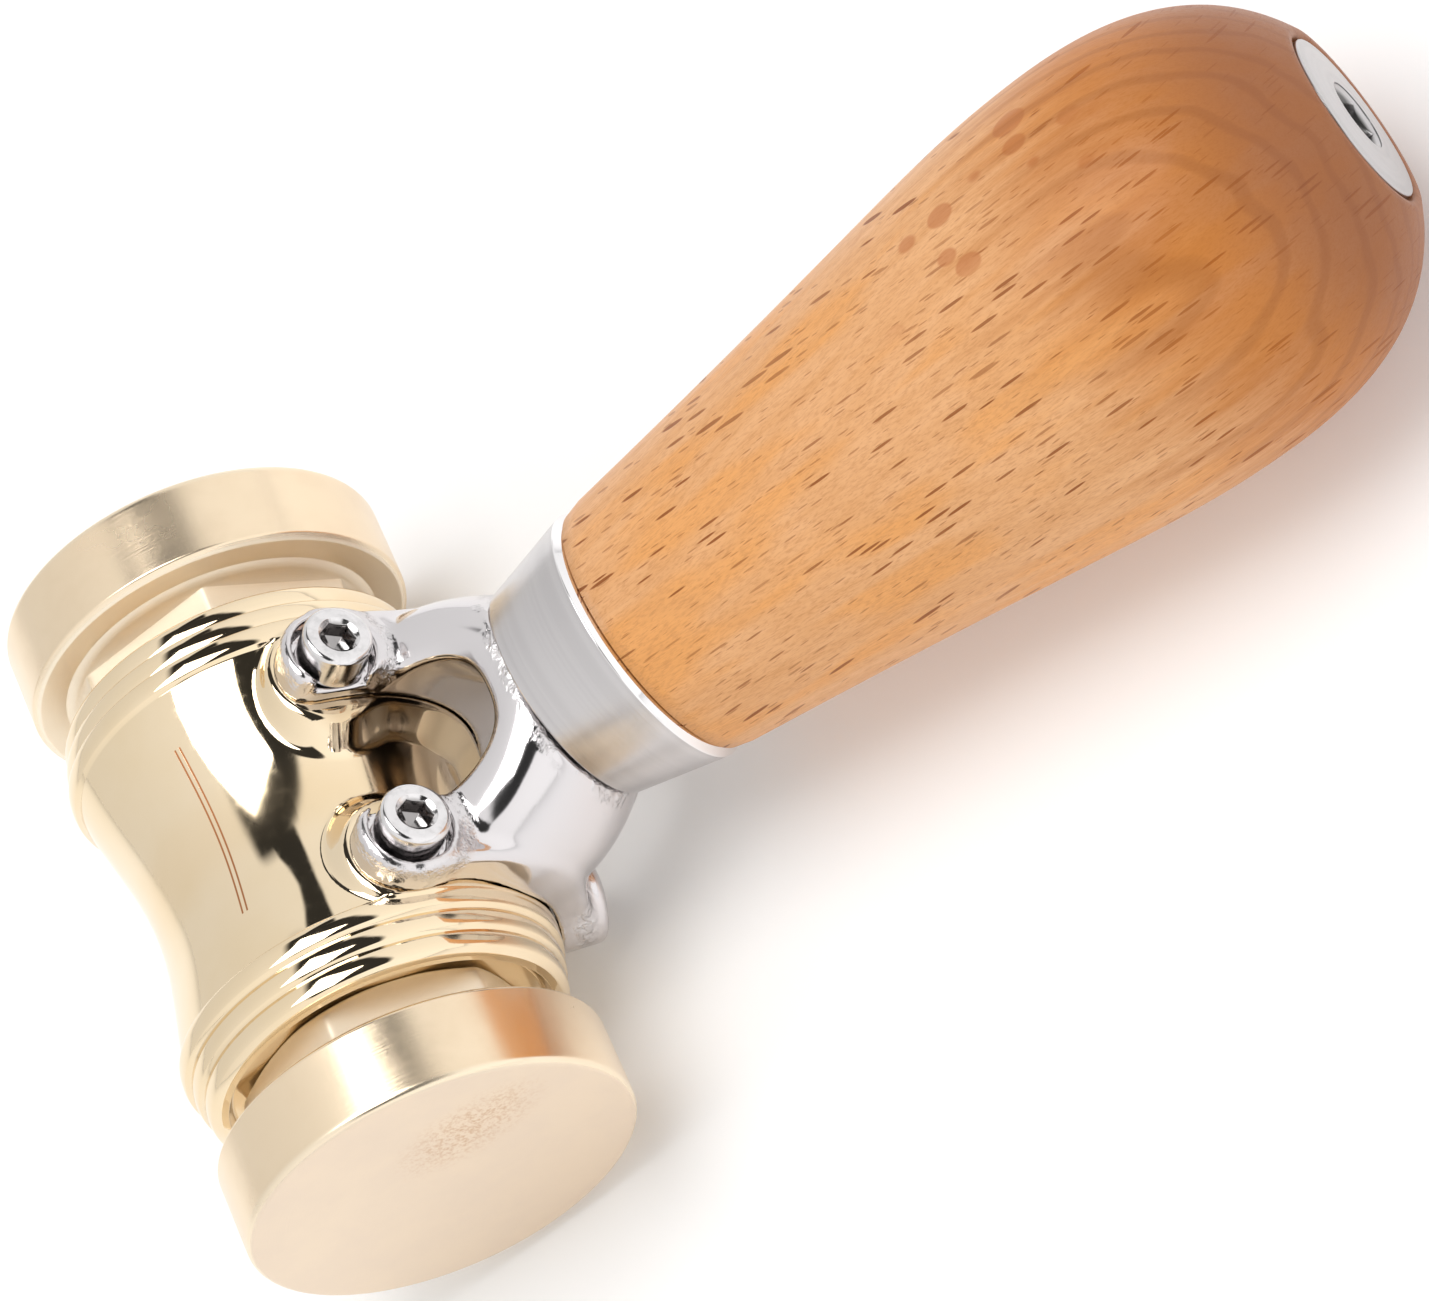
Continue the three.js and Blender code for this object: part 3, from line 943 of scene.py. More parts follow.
@dataclass(frozen=True)
class Beech(Finish):
    """Lacquered steamed beech: growth rings, short ray flecks and a darker end."""

    pale: Triple = (0.74, 0.40, 0.19)
    warm: Triple = (0.66, 0.325, 0.128)
    orange: Triple = (0.76, 0.335, 0.09)
    fibrous: Triple = (0.52, 0.235, 0.085)
    grainy: Triple = (0.46, 0.20, 0.07)
    fleck: Triple = (0.26, 0.075, 0.015)
    oval: Triple = (0.47, 0.17, 0.06)
    burnt: Triple = (0.42, 0.12, 0.010)
    late_burnt: Triple = (0.24, 0.07, 0.012)
    dusk: Triple = (0.22, 0.08, 0.045)
    ring_width: float = 2.6
    ring_drift: float = 9.0
    pith: float = 64.0
    rays: Span = (0.8, 0.6)
    darker: Span = (91.0, 114.0)
    darkest: Span = (112.0, 125.0)
    ovals_from: Span = (82.0, 88.0)
    ovals_to: Span = (114.0, 106.0)
    ovals_wide: Span = (9.0, 12.0)
    ovals_deep: Span = (4.0, 7.0)
    relief: float = 0.00002

    def surface(self, board: Board, place: Wire) -> Sockets:
        """Rings lie about a pith beside the handle; rays point to it and end as short flecks.

        Args:
            board: Tree to add nodes to.
            place: Position in shop millimetres.

        Returns:
            Values and links for the Principled shader.
        """
        x, y, z = board.split(place)
        most, rest = self.rays
        deep, wide = z * most - y * rest, y * most + z * rest
        along_rays = (x, deep, wide)
        drift = board.noise(board.stretch(along_rays, (0.012, 0.05, 0.05)), 1.0, 3.0)
        ring = (deep + self.pith).hypot(wide) + drift * self.ring_drift
        phase = (ring * (FULL_TURN / self.ring_width)).sine()
        late = phase.fade(0.45, 1.0)
        fibre, strand, grain, glow, dense = (
            board.noise(board.stretch(along_rays, pace), 1.0, detail, rough)
            for pace, detail, rough in (
                ((0.16, 3.2, 3.2), 3.0, 0.65),
                ((0.05, 0.7, 0.7), 2.0, 0.5),
                ((0.8, 6.0, 6.0), 2.0, 0.6),
                ((0.03, 0.22, 0.22), 2.0, 0.5),
                ((0.02, 0.1, 0.12), 2.0, 0.5),
            )
        )
        rays, tiny, ovals = (
            self.flecks(board, along_rays, pace, size, offset)
            for pace, size, offset in (
                ((0.15, 0.085, 1.6), 0.27, 0.0),
                ((0.3, 0.16, 2.9), 0.25, 37.0),
                ((0.2, 0.2, 0.3), 0.36, 11.0),
            )
        )
        mark = (rays * dense.fade(0.3, 0.55, 0.45, 1.0)).larger(tiny * 0.5)
        ovals = ovals * wide.fade(*self.ovals_wide) * deep.fade(*self.ovals_deep)
        ovals = ovals * x.fade(*self.ovals_from) * x.fade(*self.ovals_to)
        end = (x + strand * 16.0 - 8.0 + phase * 0.8).fade(*self.darker)
        wood = board.paint(
            self.pale,
            (strand.fade(0.3, 0.72) * 0.6, self.warm),
            (glow.fade(0.46, 0.64) * 0.65, self.orange),
            (late * 0.30, self.warm),
            (fibre.fade(0.45, 0.75) * 0.28, self.fibrous),
            (grain.fade(0.42, 0.72) * 0.4, self.grainy),
            (mark * 0.95, self.fleck),
            (ovals * 0.7, self.oval),
            (end * 0.68, self.burnt),
            (late * end * 0.24, self.late_burnt),
            (x.fade(*self.darkest) * 0.6, self.dusk),
        )
        height = fibre * 0.35 + grain * 0.6 - mark + board.noise(place, 0.35, 2.0) * 0.8
        return {
            "Base Color": wood,
            "Metallic": 0.0,
            "Roughness": fibre.fade(0.3, 0.8, 0.40, 0.50) + mark * 0.08,
            "IOR": 1.45,
            "Specular IOR Level": 0.18,
            "Coat Weight": 0.12,
            "Coat Roughness": 0.2,
            "Normal": board.bump(height, self.relief),
        }

    def flecks(
        self, board: Board, place: Wires, pace: Triple, size: float, offset: float
    ) -> Wire:
        """Lens-shaped rays: the middle of each stretched Voronoi cell, and only in some cells.

        Args:
            board: Tree to add nodes to.
            place: Places along the handle, along the rays and across them.
            pace: Cells a millimetre in each of these directions.
            size: Share of a cell that the fleck takes.
            offset: Shift that makes another set of flecks.

        Returns:
            1 in a fleck and 0 outside.
        """
        near = board.cells(board.stretch(place, pace, offset))
        chance, other, _ = board.split(Wire(board, near.socket.node.outputs["Color"]))
        reach = chance.fade(0.0, 0.5, 0.0, size) * (other * 0.5 + 0.6)
        return (reach - near).fade(-0.02, 0.05)


POLISHED_BRASS = MirrorBrass("brass_mirror", "polished_brass")
SATIN_BRASS = TurnedBrass("brass_turned", "satin_brass")
CAST_STEEL = CastSteel("steel_cast_polished", "polished_steel")
FERRULE_STEEL = SatinSteel("steel_brushed", "satin_steel")
PLATE_STEEL = SatinSteel(
    "steel_end_plate", "satin_steel", tint=(0.56, 0.54, 0.54), polish=0.3, chamfer=(0.0, 0.1)
)
SCREW_STEEL = ScrewSteel("steel_screw", "satin_steel")
THREAD_STEEL = ThreadSteel("steel_threaded", "dark_steel")
BEECH = Beech("beech_lacquered", "beech")


# ------------------------------------------------------------------------------ pieces


@dataclass(frozen=True)
class Part(ABC):
    """A piece of the mallet that stands for one CAD node."""

    @abstractmethod
    def skin(self) -> Skin:
        """The piece's skin, in shop millimetres."""

    def make(self, node: str, body: str, finish: Finish, datum: Datum) -> bpy.types.Object:
        """Build the piece, dress it and let it ride on its body.

        Args:
            node: The CAD node it stands for.
            body: The CAD body it moves with.
            finish: Its finish.
            datum: Where the shop frame lies.

        Returns:
            The finished object.
        """
        piece = self.skin().build(node + "_looks", datum)
        piece.data.materials.append(finish.material(datum))
        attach(piece, body)
        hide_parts(node)
        return piece


@dataclass(frozen=True)
class Thread:
    """A screw thread: a triangle wave of the height, with its crests and roots cut flat."""

    pitch: float
    depth: float
    steepness: float = 1.35
    crest: float = 0.12

    def cut(self, height: Array, angle: Array) -> Array:
        """How deep the thread is: a triangle wave of height / pitch - angle / turn, flattened."""
        wave = np.abs(((height / self.pitch - angle / FULL_TURN) % 1) * 2 - 1)
        return self.depth * np.clip(wave * self.steepness - self.crest, 0, 1)


@dataclass(frozen=True)
class ThreadedRod(Part):
    """A rod with chamfered ends and a thread near each of them."""

    spindle: Spindle
    start: float
    stop: float
    radius: float
    chamfer: float
    thread: Thread
    threaded: float
    rows_a_pitch: int = 12
    columns: int = 72

    def skin(self) -> Skin:
        """Radius = the rod's less the thread's cut, which eases in, and no more than the chamfer.

        Returns:
            The skin.
        """
        rows = int(self.threaded / self.thread.pitch * self.rows_a_pitch)
        first = np.linspace(self.start, self.start + self.threaded, rows)
        last = np.linspace(self.stop - self.threaded, self.stop, rows)
        height = np.unique(np.concatenate((first, last)))[:, None]
        angle = even_angles(self.columns)
        from_end = np.minimum(height - self.start, self.stop - height)
        fade = eased((self.threaded - from_end) / self.thread.pitch)
        radius = self.radius - self.thread.cut(height, angle) * fade
        radius = np.minimum(radius, self.radius - self.chamfer + from_end)
        tip = np.zeros((1, 1))
        bands = (height[:1], tip), (height, radius), (height[-1:], tip)
        return turned(self.spindle, angle, *bands)


# Start, stop, radius, chamfer, thread and threaded length, as ThreadedRod has them.
STUD_SIZES = (11.8, 33.3, 5.0, 0.8, Thread(pitch=1.5, depth=0.75), 10.7)
ROD_SIZES = (30.5, 123.8, 4.0, 0.6, Thread(pitch=1.25, depth=0.6), 14.0)


@dataclass(frozen=True)
class StrikingFace(Part):
    """Disc, conical boss and wrench hexagon of one striking face."""

    end: End
    hex_corner: float
    radius: float = 20.0
    front: float = 36.4
    back: float = 27.2
    boss_foot: float = 26.4
    boss_radius: float = 16.588
    boss_height: float = 0.8
    hex_end: float = 21.06
    flats: float = 27.0
    hex_rows: tuple[float, ...] = (0, 0.02, 0.12, 0.4, 2, 3.6, 4.2, 4.5, 4.75, 4.9, 5, 5.06, 5.1)
    hex_chamfer: float = 30.0
    hex_blend: float = 0.25
    flare: float = 0.1
    flare_height: float = 0.45
    bore: float = 5.3
    bore_depth: float = 14.0

    def skin(self) -> Skin:
        """Turned outline; between the boss and the hexagon's end the radius is the hexagon's.

        The hexagon's end is faced at 30 degrees: its radius is also held under a cone.

        Returns:
            The skin.
        """
        boss_top = self.boss_radius - self.boss_height
        disc = filleted(
            ((self.front, 0.0, 0), (self.front, self.radius, 0.75)),
            ((self.back + 0.55, self.radius, 0.35), (self.back, self.radius - 0.7, 0.25)),
            ((self.back, self.boss_radius, 0.2), (self.boss_foot, boss_top, 0)),
            steps=7,
        )
        corner = -self.hex_corner * self.end.value
        angle = six_sided_angles(240, corner)
        rows = np.array(self.hex_rows)[:, None]
        height = self.boss_foot - rows * (self.boss_foot - self.hex_end) / rows[-1]
        cone = (height - self.hex_end) / math.tan(math.radians(self.hex_chamfer))
        cone = self.flats / 2 + 0.1 + cone
        prism = smooth_min(hexagon(angle, self.flats, corner), cone, self.hex_blend)
        flare = self.flare * (1 - eased((self.boss_foot - height) / self.flare_height))
        prism = np.minimum(prism + flare, boss_top)
        mouth, floor = self.hex_end + 0.5, self.hex_end + self.bore_depth
        inner = filleted(
            ((self.hex_end, 9.0, 0), (self.hex_end, self.bore + 0.5, 0)),
            ((mouth, self.bore, 0), (floor, self.bore, 0), (floor + 0.4, 0.0, 0)),
        )
        return turned(head_axis(self.end), angle, disc, (height, prism), inner)


@dataclass(frozen=True)
class HeadBody(Part):
    """The brass barrel: concave waist, ringed ends, dished seats and the yoke's raised pads."""

    half_length: float = 22.4
    waist: float = 16.7
    shoulder: float = 19.2
    cosine_share: float = 0.72
    rings_start: float = 15.6
    ring_width: float = 2.1
    ring_radii: tuple[float, ...] = (19.8, 19.25, 18.7)
    ring_groove: float = 0.2
    groove_power: float = 2.6
    rim_outer: float = 17.69
    rim_inner: float = 16.89
    dish_radius: float = 16.19
    dish_depth: float = 1.4
    bore: float = 5.3
    bore_end: float = 10.8
    pad_radius: float = 19.9
    pad_from: float = 7.2
    pad_to: float = 15.2
    pad_ledge: float = 0.75
    pad_corner: float = 1.5
    pad_blend: float = 0.7
    pad_run_out: Span = (0.9, 0.8)
    lip: float = 0.22
    lip_width: float = 0.7
    side_slope: float = 1.25
    ear_radius: float = 5.1

    def barrel(self, y: Array) -> Array:
        """Waist plus a cut-short half cosine up to the shoulder, then one bead for each ring.

        A bead is its radius less the groove depth times a power of |s|, where s runs from -1
        to 1 across the ring.

        Args:
            y: Places along the head.

        Returns:
            The radius at each place.
        """
        y = np.abs(y)
        swing = self.cosine_share * np.pi
        rise = (1 - np.cos(swing * np.clip(y / self.rings_start, 0, 1))) / (1 - np.cos(swing))
        radius = self.waist + (self.shoulder - self.waist) * rise
        for number, crest in enumerate(self.ring_radii):
            middle = self.rings_start + (number + 0.5) * self.ring_width
            s = np.abs(y - middle) / (self.ring_width / 2)
            radius = np.where(s <= 1, crest - self.ring_groove * s**self.groove_power, radius)
        return radius

    def pad_outline(self, y: Array, angle: Array) -> Array:
        """Distance outside the pad's outline on the unrolled barrel: a band joined to two discs.

        Args:
            y: Places along the head.
            angle: Angles round it from the handle's side.

        Returns:
            The distance, negative inside.
        """
        lean = math.radians(SCREW_LINE.angle)
        beyond = self.pad_radius * np.abs(angle) - self.pad_radius * lean
        across = outside_band(np.abs(y), self.pad_from, self.pad_to)
        band = np.hypot(np.maximum(across, 0), np.maximum(beyond, 0))
        band = band + np.minimum(np.maximum(across, beyond), 0)
        disc = np.hypot(np.abs(y) - SCREW_LINE.offset, beyond) - self.ear_radius
        return smooth_min(band, disc, self.pad_corner) - self.pad_ledge

    def pad(self, y: Array, angle: Array) -> Array:
        """Pad height: flat top, a rounded lip, then a steep side that flares into the waist.

        Args:
            y: Places along the head.
            angle: Angles round it from the handle's side.

        Returns:
            The radius that the pad reaches.
        """
        out = self.pad_outline(y, angle)
        lip = self.lip * np.clip((out + self.lip_width) / self.lip_width, 0, 1) ** 2
        return self.pad_radius - lip - self.side_slope * np.clip(out, 0, None)

    def skin(self) -> Skin:
        """Rows run along the outline from one bore to the other; the barrel takes the pads.

        Columns are dense on the handle's side, where the pads are.

        Returns:
            The skin.
        """
        seat, rim = self.half_length - self.dish_depth, self.half_length
        last_groove = self.ring_radii[-1] - self.ring_groove
        end = filleted(
            ((self.bore_end, 0.0, 0), (self.bore_end, self.bore, 0.1)),
            ((seat - 0.4, self.bore, 0), (seat, self.bore + 0.4, 0), (seat, self.dish_radius, 0.5)),
            ((rim, self.rim_inner, 0.18), (rim, self.rim_outer, 0.3), (rim - 0.5, last_groove, 0)),
            steps=5,
        )
        rings_end = self.rings_start + len(self.ring_radii) * self.ring_width
        ring_rows = np.linspace(rings_end, self.rings_start, 55)
        waist_rows = np.linspace(self.rings_start, -self.rings_start, 190)[1:-1]
        y = np.concatenate((ring_rows, waist_rows, -ring_rows[::-1]))[:, None]
        dense, sparse = np.linspace(-62, 62, 180), np.linspace(62, 298, 92)[1:-1]
        angle = np.radians(np.concatenate((dense, sparse)))
        wrapped = (angle + np.pi) % FULL_TURN - np.pi
        body = self.barrel(y)
        pads = smooth_max(body, self.pad(y, wrapped), self.pad_blend)
        past_rings, width = self.pad_run_out
        inside = eased((self.rings_start + past_rings - np.abs(y)) / width)
        body = body + (pads - body) * inside
        far_end = end[::-1] * (-1, 1)
        spindle = Spindle((0, 0, 0), (0, 1, 0), (1, 0, 0))
        return turned(spindle, -angle, end, (y, body), far_end)


@dataclass(frozen=True)
class Yoke(Part):
    """Cast steel yoke: a dome with flat sides on two saddle feet, each with two screw ears."""

    barrel: float = 20.05
    dome_radius: float = 15.8
    neck_radius: float = 11.6
    dome_from: float = 21.5
    dome_power: float = 1.9
    top: float = 32.5
    top_edge: float = 0.5
    slab: float = 10.2
    slab_edge: float = 2.2
    foot_from: float = 7.2
    foot_to: float = 15.2
    foot_thickness: float = 3.3
    foot_swell: float = 1.0
    swell_power: float = 1.5
    foot_edges: Span = (0.6, 1.2)
    foot_root: float = 1.3
    ear_radius: float = 5.1
    ear_top: float = 23.4
    lower_ear_top: float = 25.3
    ear_edge: float = 1.1
    ear_root: float = 1.5
    well_radius: float = 4.1
    well_edge: float = 0.35
    seat: float = 21.4
    screw_hole: float = 2.3
    screw_hole_from: float = 15.0
    arch_foot: float = 18.0
    arch_edge: float = 1.5
    saddle_edge: float = 0.25
    spigot_radius: float = 10.1
    spigot_half: float = 2.6
    rod_hole: float = 4.3
    rod_from: float = 30.2
    low: Triple = (11.5, -17.0, -20.8)
    high: Triple = (35.7, 17.0, 20.8)
    cell: float = 0.3

    def field(self, point: Array) -> Array:
        """Signed distance, roughly: dome and slab, joined to feet and ears, less its openings.

        Args:
            point: Places in shop millimetres, one row each.

        Returns:
            The field at each place, negative inside.
        """
        x, y, z = point.T
        wide = np.abs(y)
        from_head = np.hypot(x, z)
        from_handle = np.hypot(y, z)
        shoulder = np.clip((x - self.dome_from) / (self.top - self.dome_from), 0, 1)
        narrowing = (self.dome_radius - self.neck_radius) * shoulder**self.dome_power
        dome = from_handle - (self.dome_radius - narrowing)
        crown = smooth_max(dome, np.abs(z) - self.slab, self.slab_edge)
        crown = smooth_max(crown, x - self.top, self.top_edge)
        up, from_screw = SCREW_LINE.measure(x, wide, np.abs(z))
        ear_top = np.where(z < 0, self.lower_ear_top, self.ear_top)
        ear = smooth_max(from_screw - self.ear_radius, up - ear_top, self.ear_edge)
        lean = math.radians(SCREW_LINE.angle)
        angle = np.abs(np.arctan2(z, x))
        across = outside_band(wide, self.foot_from, self.foot_to)
        swell = np.cos(np.clip(angle / lean, 0, 1) * np.pi / 2) ** self.swell_power
        thick = from_head - self.barrel - self.foot_thickness - self.foot_swell * swell
        foot = smooth_max(across, from_head * (angle - lean), self.foot_edges[0])
        foot = smooth_max(foot, thick, self.foot_edges[1])
        solid = smooth_min(smooth_min(crown, foot, self.foot_root), ear, self.ear_root)
        spigot = np.abs(x - self.top) - self.spigot_half
        solid = np.minimum(solid, np.maximum(from_handle - self.spigot_radius, spigot))
        rise = np.clip(x - self.arch_foot, 0, None) / (ARCH_TOP - self.arch_foot)
        arch = (rise**ARCH_POWER + (wide / ARCH_HALF) ** ARCH_POWER) ** (1 / ARCH_POWER)
        solid = smooth_max(solid, (1 - arch) * ARCH_HALF, self.arch_edge)
        solid = smooth_max(solid, self.barrel - from_head, self.saddle_edge)
        well = np.maximum(from_screw - self.well_radius, self.seat - up)
        hole = np.maximum(from_screw - self.screw_hole, self.screw_hole_from - up)
        rod = np.maximum(from_handle - self.rod_hole, self.rod_from - x)
        return np.maximum(smooth_max(solid, -well, self.well_edge), -np.minimum(hole, rod))

    def skin(self) -> Skin:
        """Zero level of the field."""
        return net_of_field(self.field, self.low, self.high, self.cell)


@dataclass(frozen=True)
class CapScrew(Part):
    """Socket head cap screw in one of the yoke's ears."""

    end: End
    side: Side
    seat: float = 21.7
    head_height: float = 4.0
    head_radius: float = 3.5
    thread_radius: float = 2.0
    thread_length: float = 8.0
    socket_flats: float = 3.0
    socket_depth: float = 2.2
    socket_corner: float = 12.0

    def skin(self) -> Skin:
        """Turned outline whose socket rows take the hexagon's radius.

        Returns:
            The skin.
        """
        lean = math.radians(SCREW_LINE.angle) * self.side.value
        out = (math.cos(lean), 0.0, math.sin(lean))
        spindle = Spindle((0, self.end.value * SCREW_LINE.offset, 0), out, (0, 1, 0))
        top, tip = self.seat + self.head_height, self.seat - self.thread_length
        rim = self.socket_flats / math.sqrt(3) + 0.22
        shell = filleted(
            ((tip, 0.0, 0), (tip, self.thread_radius, 0.4), (self.seat, self.thread_radius, 0.1)),
            ((self.seat, self.head_radius, 0.2), (top - 0.02, self.head_radius, 0.55)),
            ((top, rim + 0.12, 0.1), (top - 0.1, rim, 0)),
        )
        angle = six_sided_angles(108, self.socket_corner)
        six = hexagon(angle, self.socket_flats, self.socket_corner)
        depth = np.array((0.1, 0.2, 0.32, 0.42, 0.6, 1.2, 2.1, self.socket_depth))[:, None]
        socket = key_hole(six, rim, depth, 1.2, 0.06)
        socket[-1] = six * 0.97
        floor = np.array(((top - self.socket_depth - 0.5, 0.0),))
        return turned(spindle, angle, shell, (top - depth, socket), floor)


@dataclass(frozen=True)
class Ferrule(Part):
    """Tapered steel sleeve between the yoke and the wood."""

    start: float = 32.8
    end: float = 43.4
    small: float = 11.9
    big: float = 14.2
    chamfer: float = 0.7
    bore: float = 10.4

    def skin(self) -> Skin:
        """Closed outline, carried round the handle's axis.

        Returns:
            The skin.
        """
        inside, shoulder = (self.start + 5, self.bore, 0), self.end - self.chamfer
        outline = filleted(
            (inside, (self.start, self.bore, 0.15), (self.start, self.small, 0.28)),
            ((shoulder, self.big, 0.16), (self.end, self.big - self.chamfer, 0.16)),
            ((self.end, self.bore, 0.15), inside),
            steps=5,
        )
        return turned(HANDLE_AXIS, even_angles(192), outline[:-1], ring=True)


@dataclass(frozen=True)
class Handle(Part):
    """Pear-shaped beech handle, with its tenon and the bores for the rod and the nut."""

    shoulder: float = 43.7
    end: float = 127.8
    neck: float = 14.1
    bulb: float = 21.5
    bulb_before_end: float = 23.1
    end_radius: float = 10.2
    tenon_start: float = 35.4
    tenon: float = 10.1
    bore: float = 4.3
    recess: float = 9.2
    recess_floor: float = 124.7
    socket: float = 5.8
    socket_floor: float = 112.7

    def skin(self) -> Skin:
        """Two Bezier curves meet at the bulb; plain steps make the bored inside.

        The first curve starts along the line to its second point, and the last one ends steep.

        Returns:
            The skin.
        """
        bulb_at = self.end - self.bulb_before_end
        length, swell = bulb_at - self.shoulder, self.bulb - self.neck
        start, crest = (self.shoulder, self.neck), (bulb_at, self.bulb)
        finish = (self.end, self.end_radius)
        slope = (self.shoulder + 0.7 * length, self.neck + 0.7 * swell)
        rise = bezier((start, slope, (self.shoulder + 0.78 * length, self.bulb), crest), 70)
        steep = (
            self.end - 0.22 * self.bulb_before_end,
            self.end_radius + 0.85 * (self.bulb - self.end_radius),
        )
        level = (bulb_at + 0.36 * self.bulb_before_end, self.bulb)
        fall = bezier((crest, level, steep, finish), 60)
        rise[0, 1] -= 0.25
        inside = (
            (self.end - 0.12, self.end_radius - 0.75),
            (self.end - 0.45, self.recess),
            (self.recess_floor, self.recess),
            (self.recess_floor, self.socket),
            (self.socket_floor, self.socket),
            (self.socket_floor, self.bore),
            (self.tenon_start, self.bore),
            (self.tenon_start, self.tenon),
            (self.shoulder, self.tenon),
        )
        outline = np.concatenate((rise, fall[1:], np.array(inside)))
        return turned(HANDLE_AXIS, even_angles(224), outline, ring=True)


@dataclass(frozen=True)
class EndNut(Part):
    """Round end plate with a hexagonal key hole and a threaded sleeve inside the wood."""

    plate: float = 125.0
    end: float = 127.8
    radius: float = 8.9
    dome: float = 0.35
    sleeve: float = 5.5
    sleeve_length: float = 12.0
    bore: float = 4.3
    flats: float = 6.0
    key_floor: float = 124.4
    key_corner: float = 20.0

    def skin(self) -> Skin:
        """Closed outline with a parabolic dome; the key hole's rows take the hexagon's radius.

        Returns:
            The skin.
        """
        crown = self.end + self.dome
        rim = self.flats / math.sqrt(3) + 0.25
        dome = tuple(
            (crown - self.dome * t * t, rim + (self.radius - rim) * t, 0.0)
            for t in np.linspace(0.93, 0.07, 12).tolist()
        )
        foot = self.plate - self.sleeve_length
        shell = filleted(
            ((foot, self.bore, 0), (foot, self.sleeve, 0.3), (self.plate, self.sleeve, 0.1)),
            ((self.plate, self.radius, 0.2), (self.end, self.radius, 0.3)),
            dome,
            ((crown, rim, 0.08), (crown - 0.1, rim - 0.04, 0)),
            steps=5,
        )
        angle = six_sided_angles(192, self.key_corner)
        six = hexagon(angle, self.flats, self.key_corner)
        depth = np.array((0.1, 0.2, 0.35, 0.5, 0.7, 1.6, 3.7))[:, None]
        hole = key_hole(six, rim, depth, 1.1, 0.08)
        inner = np.array(((self.key_floor, self.bore), (self.key_floor - 4, self.bore)))
        return turned(HANDLE_AXIS, angle, shell, (crown - depth, hole), inner, ring=True)


# ------------------------------------------------------------------------------ sub-assemblies


@dataclass
class Head:
    """Brass barrel with a striking face and a stud at each end."""

    datum: Datum
    corners: dict[End, float] = field(default_factory=lambda: {End.NEAR: 21.0, End.FAR: 1.0})

    def build(self) -> list[bpy.types.Object]:
        """Make the barrel, the faces and the studs.

        Returns:
            The pieces.
        """
        made = [HeadBody().make("head_body", "mallet", POLISHED_BRASS, self.datum)]
        for end, corner in self.corners.items():
            name = end.name.lower()
            face = StrikingFace(end, corner)
            made.append(face.make(f"{name}_face", f"{name}_striker", SATIN_BRASS, self.datum))
            stud = ThreadedRod(head_axis(end), *STUD_SIZES)
            made.append(stud.make(f"{name}_stud", f"{name}_stud", THREAD_STEEL, self.datum))
        return made


@dataclass
class YokeAssembly:
    """Steel yoke and the four screws that hold it on the head."""

    datum: Datum

    def build(self) -> list[bpy.types.Object]:
        """Make the yoke and its screws.

        Returns:
            The pieces.
        """
        made = [Yoke().make("yoke", "mallet", CAST_STEEL, self.datum)]
        for end in End:
            for side in Side:
                node = f"yoke_screw_{end.name.lower()}_{side.name.lower()}"
                made.append(CapScrew(end, side).make(node, "mallet", SCREW_STEEL, self.datum))
        return made


@dataclass
class Grip:
    """Ferrule, wooden handle, tie rod and end nut."""

    datum: Datum

    def build(self) -> list[bpy.types.Object]:
        """Make the four pieces along the handle's axis.

        Returns:
            The pieces.
        """
        rod = ThreadedRod(HANDLE_AXIS, *ROD_SIZES)
        return [
            Ferrule().make("ferrule", "mallet", FERRULE_STEEL, self.datum),
            Handle().make("handle", "mallet", BEECH, self.datum),
            rod.make("tie_rod", "mallet", THREAD_STEEL, self.datum),
            EndNut().make("end_nut", "mallet", PLATE_STEEL, self.datum),
        ]


# ------------------------------------------------------------------------------ studio


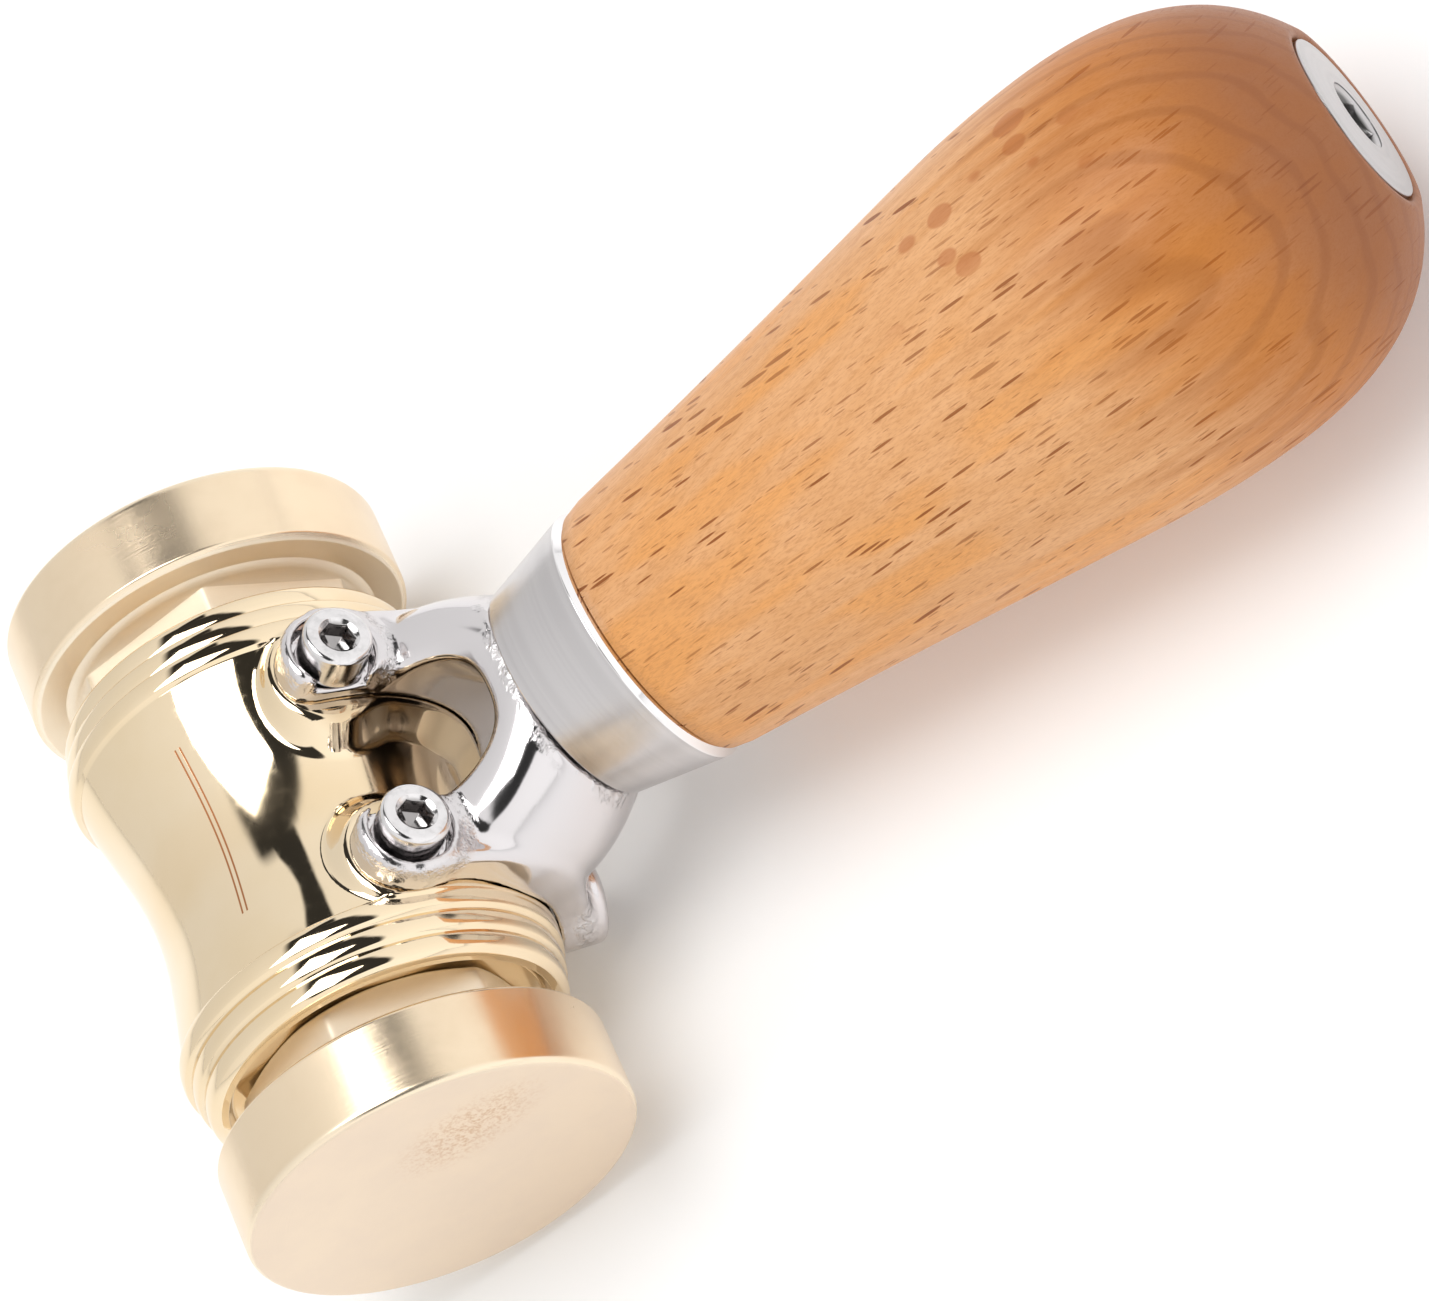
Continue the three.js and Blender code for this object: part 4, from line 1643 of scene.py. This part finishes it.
@dataclass
class Studio:
    """Pale floor, light tent with a dark ceiling, one overhead soft box, and the camera."""

    camera_place: Triple = (0.165865, -0.28466, 0.48172)
    camera_right: Triple = (0.7708, -0.3753, -0.5148)
    camera_up: Triple = (0.5599, 0.7846, 0.2663)
    lens: float = 148.53
    sensor: float = 36.0
    floor_half: float = 3.0
    floor_glow: float = 0.07
    box_size: Span = (0.44, 0.55)
    box_place: Triple = (0.05, 0.085, 0.78)
    box_power: float = 3.3
    wall_light: float = 0.98
    wall_lean: Span = (0.16, 0.14)
    stray_light: float = 0.035
    ceiling_height: Span = (0.65, 0.71)
    ceiling_side: Span = (-0.14, -0.04)
    gap_foot: float = 0.38
    gap_middle: float = 0.2
    gap_slope: float = 0.5
    gap_edge: Span = (0.0, 0.03)
    gap_back: Span = (0.58, 0.68)

    def camera(self) -> None:
        """Aim the camera by its right and up directions; it looks against their cross product."""
        data = bpy.data.cameras.new("camera")
        data.sensor_fit = "HORIZONTAL"
        data.sensor_width = self.sensor
        data.lens = self.lens
        data.clip_start = 0.01
        camera = bpy.data.objects.new("camera", data)
        right = Vector(self.camera_right).normalized()
        up = Vector(self.camera_up)
        up = (up - right * up.dot(right)).normalized()
        turn = Matrix((right, up, right.cross(up))).transposed().to_4x4()
        camera.matrix_world = Matrix.Translation(self.camera_place) @ turn
        bpy.context.scene.collection.objects.link(camera)
        bpy.context.scene.camera = camera

    def floor(self) -> None:
        """A wide, pale, matt sheet under the mallet."""
        half = self.floor_half
        mesh = bpy.data.meshes.new("floor")
        corners = [(-half, -half, 0), (half, -half, 0), (half, half, 0), (-half, half, 0)]
        mesh.from_pydata(corners, [], [(0, 1, 2, 3)])
        sheet = bpy.data.objects.new("floor", mesh)
        bpy.context.scene.collection.objects.link(sheet)
        material = bpy.data.materials.new("floor_paper")
        material.use_nodes = True
        board = Board(material.node_tree)
        paper = {
            "Base Color": (0.95, 0.95, 0.95, 1),
            "Roughness": 0.9,
            "Specular IOR Level": 0.1,
            "Emission Color": (1, 1, 1, 1),
            "Emission Strength": self.floor_glow,
        }
        shader = board.add("ShaderNodeBsdfPrincipled", {}, paper)
        board.add("ShaderNodeOutputMaterial", {}, {"Surface": shader})
        mesh.materials.append(material)

    def tent(self) -> None:
        """World light: bright walls, a dark ceiling over them, and a dark wedge at the back."""
        world = bpy.data.worlds.new("tent")
        world.use_nodes = True
        bpy.context.scene.world = world
        board = Board(world.node_tree)
        x, y, z = board.split(board.add("ShaderNodeTexCoord", output="Generated"))
        wall = x * self.wall_lean[0] - y * self.wall_lean[1] + self.wall_light
        ceiling = z.fade(*self.ceiling_height) * x.fade(*self.ceiling_side)
        taper = (z - self.gap_foot) * self.gap_slope - abs(x - self.gap_middle)
        gap = taper.fade(*self.gap_edge) * y.fade(*self.gap_back)
        light = (1.0 - ceiling.larger(gap)) * wall + self.stray_light
        sky = board.add("ShaderNodeBackground", {}, {"Color": (1, 1, 1, 1), "Strength": light})
        board.add("ShaderNodeOutputWorld", {}, {"Surface": sky})

    def lights(self) -> None:
        """One large rectangular soft box overhead, aimed at the mallet."""
        data = bpy.data.lights.new("soft_box", "AREA")
        data.shape = "RECTANGLE"
        data.size, data.size_y = self.box_size
        data.energy = self.box_power
        lamp = bpy.data.objects.new("soft_box", data)
        place = Vector(self.box_place)
        lamp.location = place
        lamp.rotation_euler = place.to_track_quat("Z", "Y").to_euler()
        bpy.context.scene.collection.objects.link(lamp)

    def build(self) -> None:
        """Set up the camera, the floor and the light."""
        self.camera()
        self.floor()
        self.tent()
        self.lights()
        bpy.context.scene.view_settings.view_transform = "Standard"


def main() -> None:
    """Build the studio and the mallet, and report each piece."""
    logging.basicConfig(level=logging.INFO, format="%(name)s: %(message)s", stream=sys.stdout)
    Studio().build()
    datum = Datum.from_frame()
    for assembly in (Head(datum), YokeAssembly(datum), Grip(datum)):
        for piece in assembly.build():
            log.info("%s in %s", piece.name, piece.data.materials[0].name)


if __name__ == "__main__":
    main()
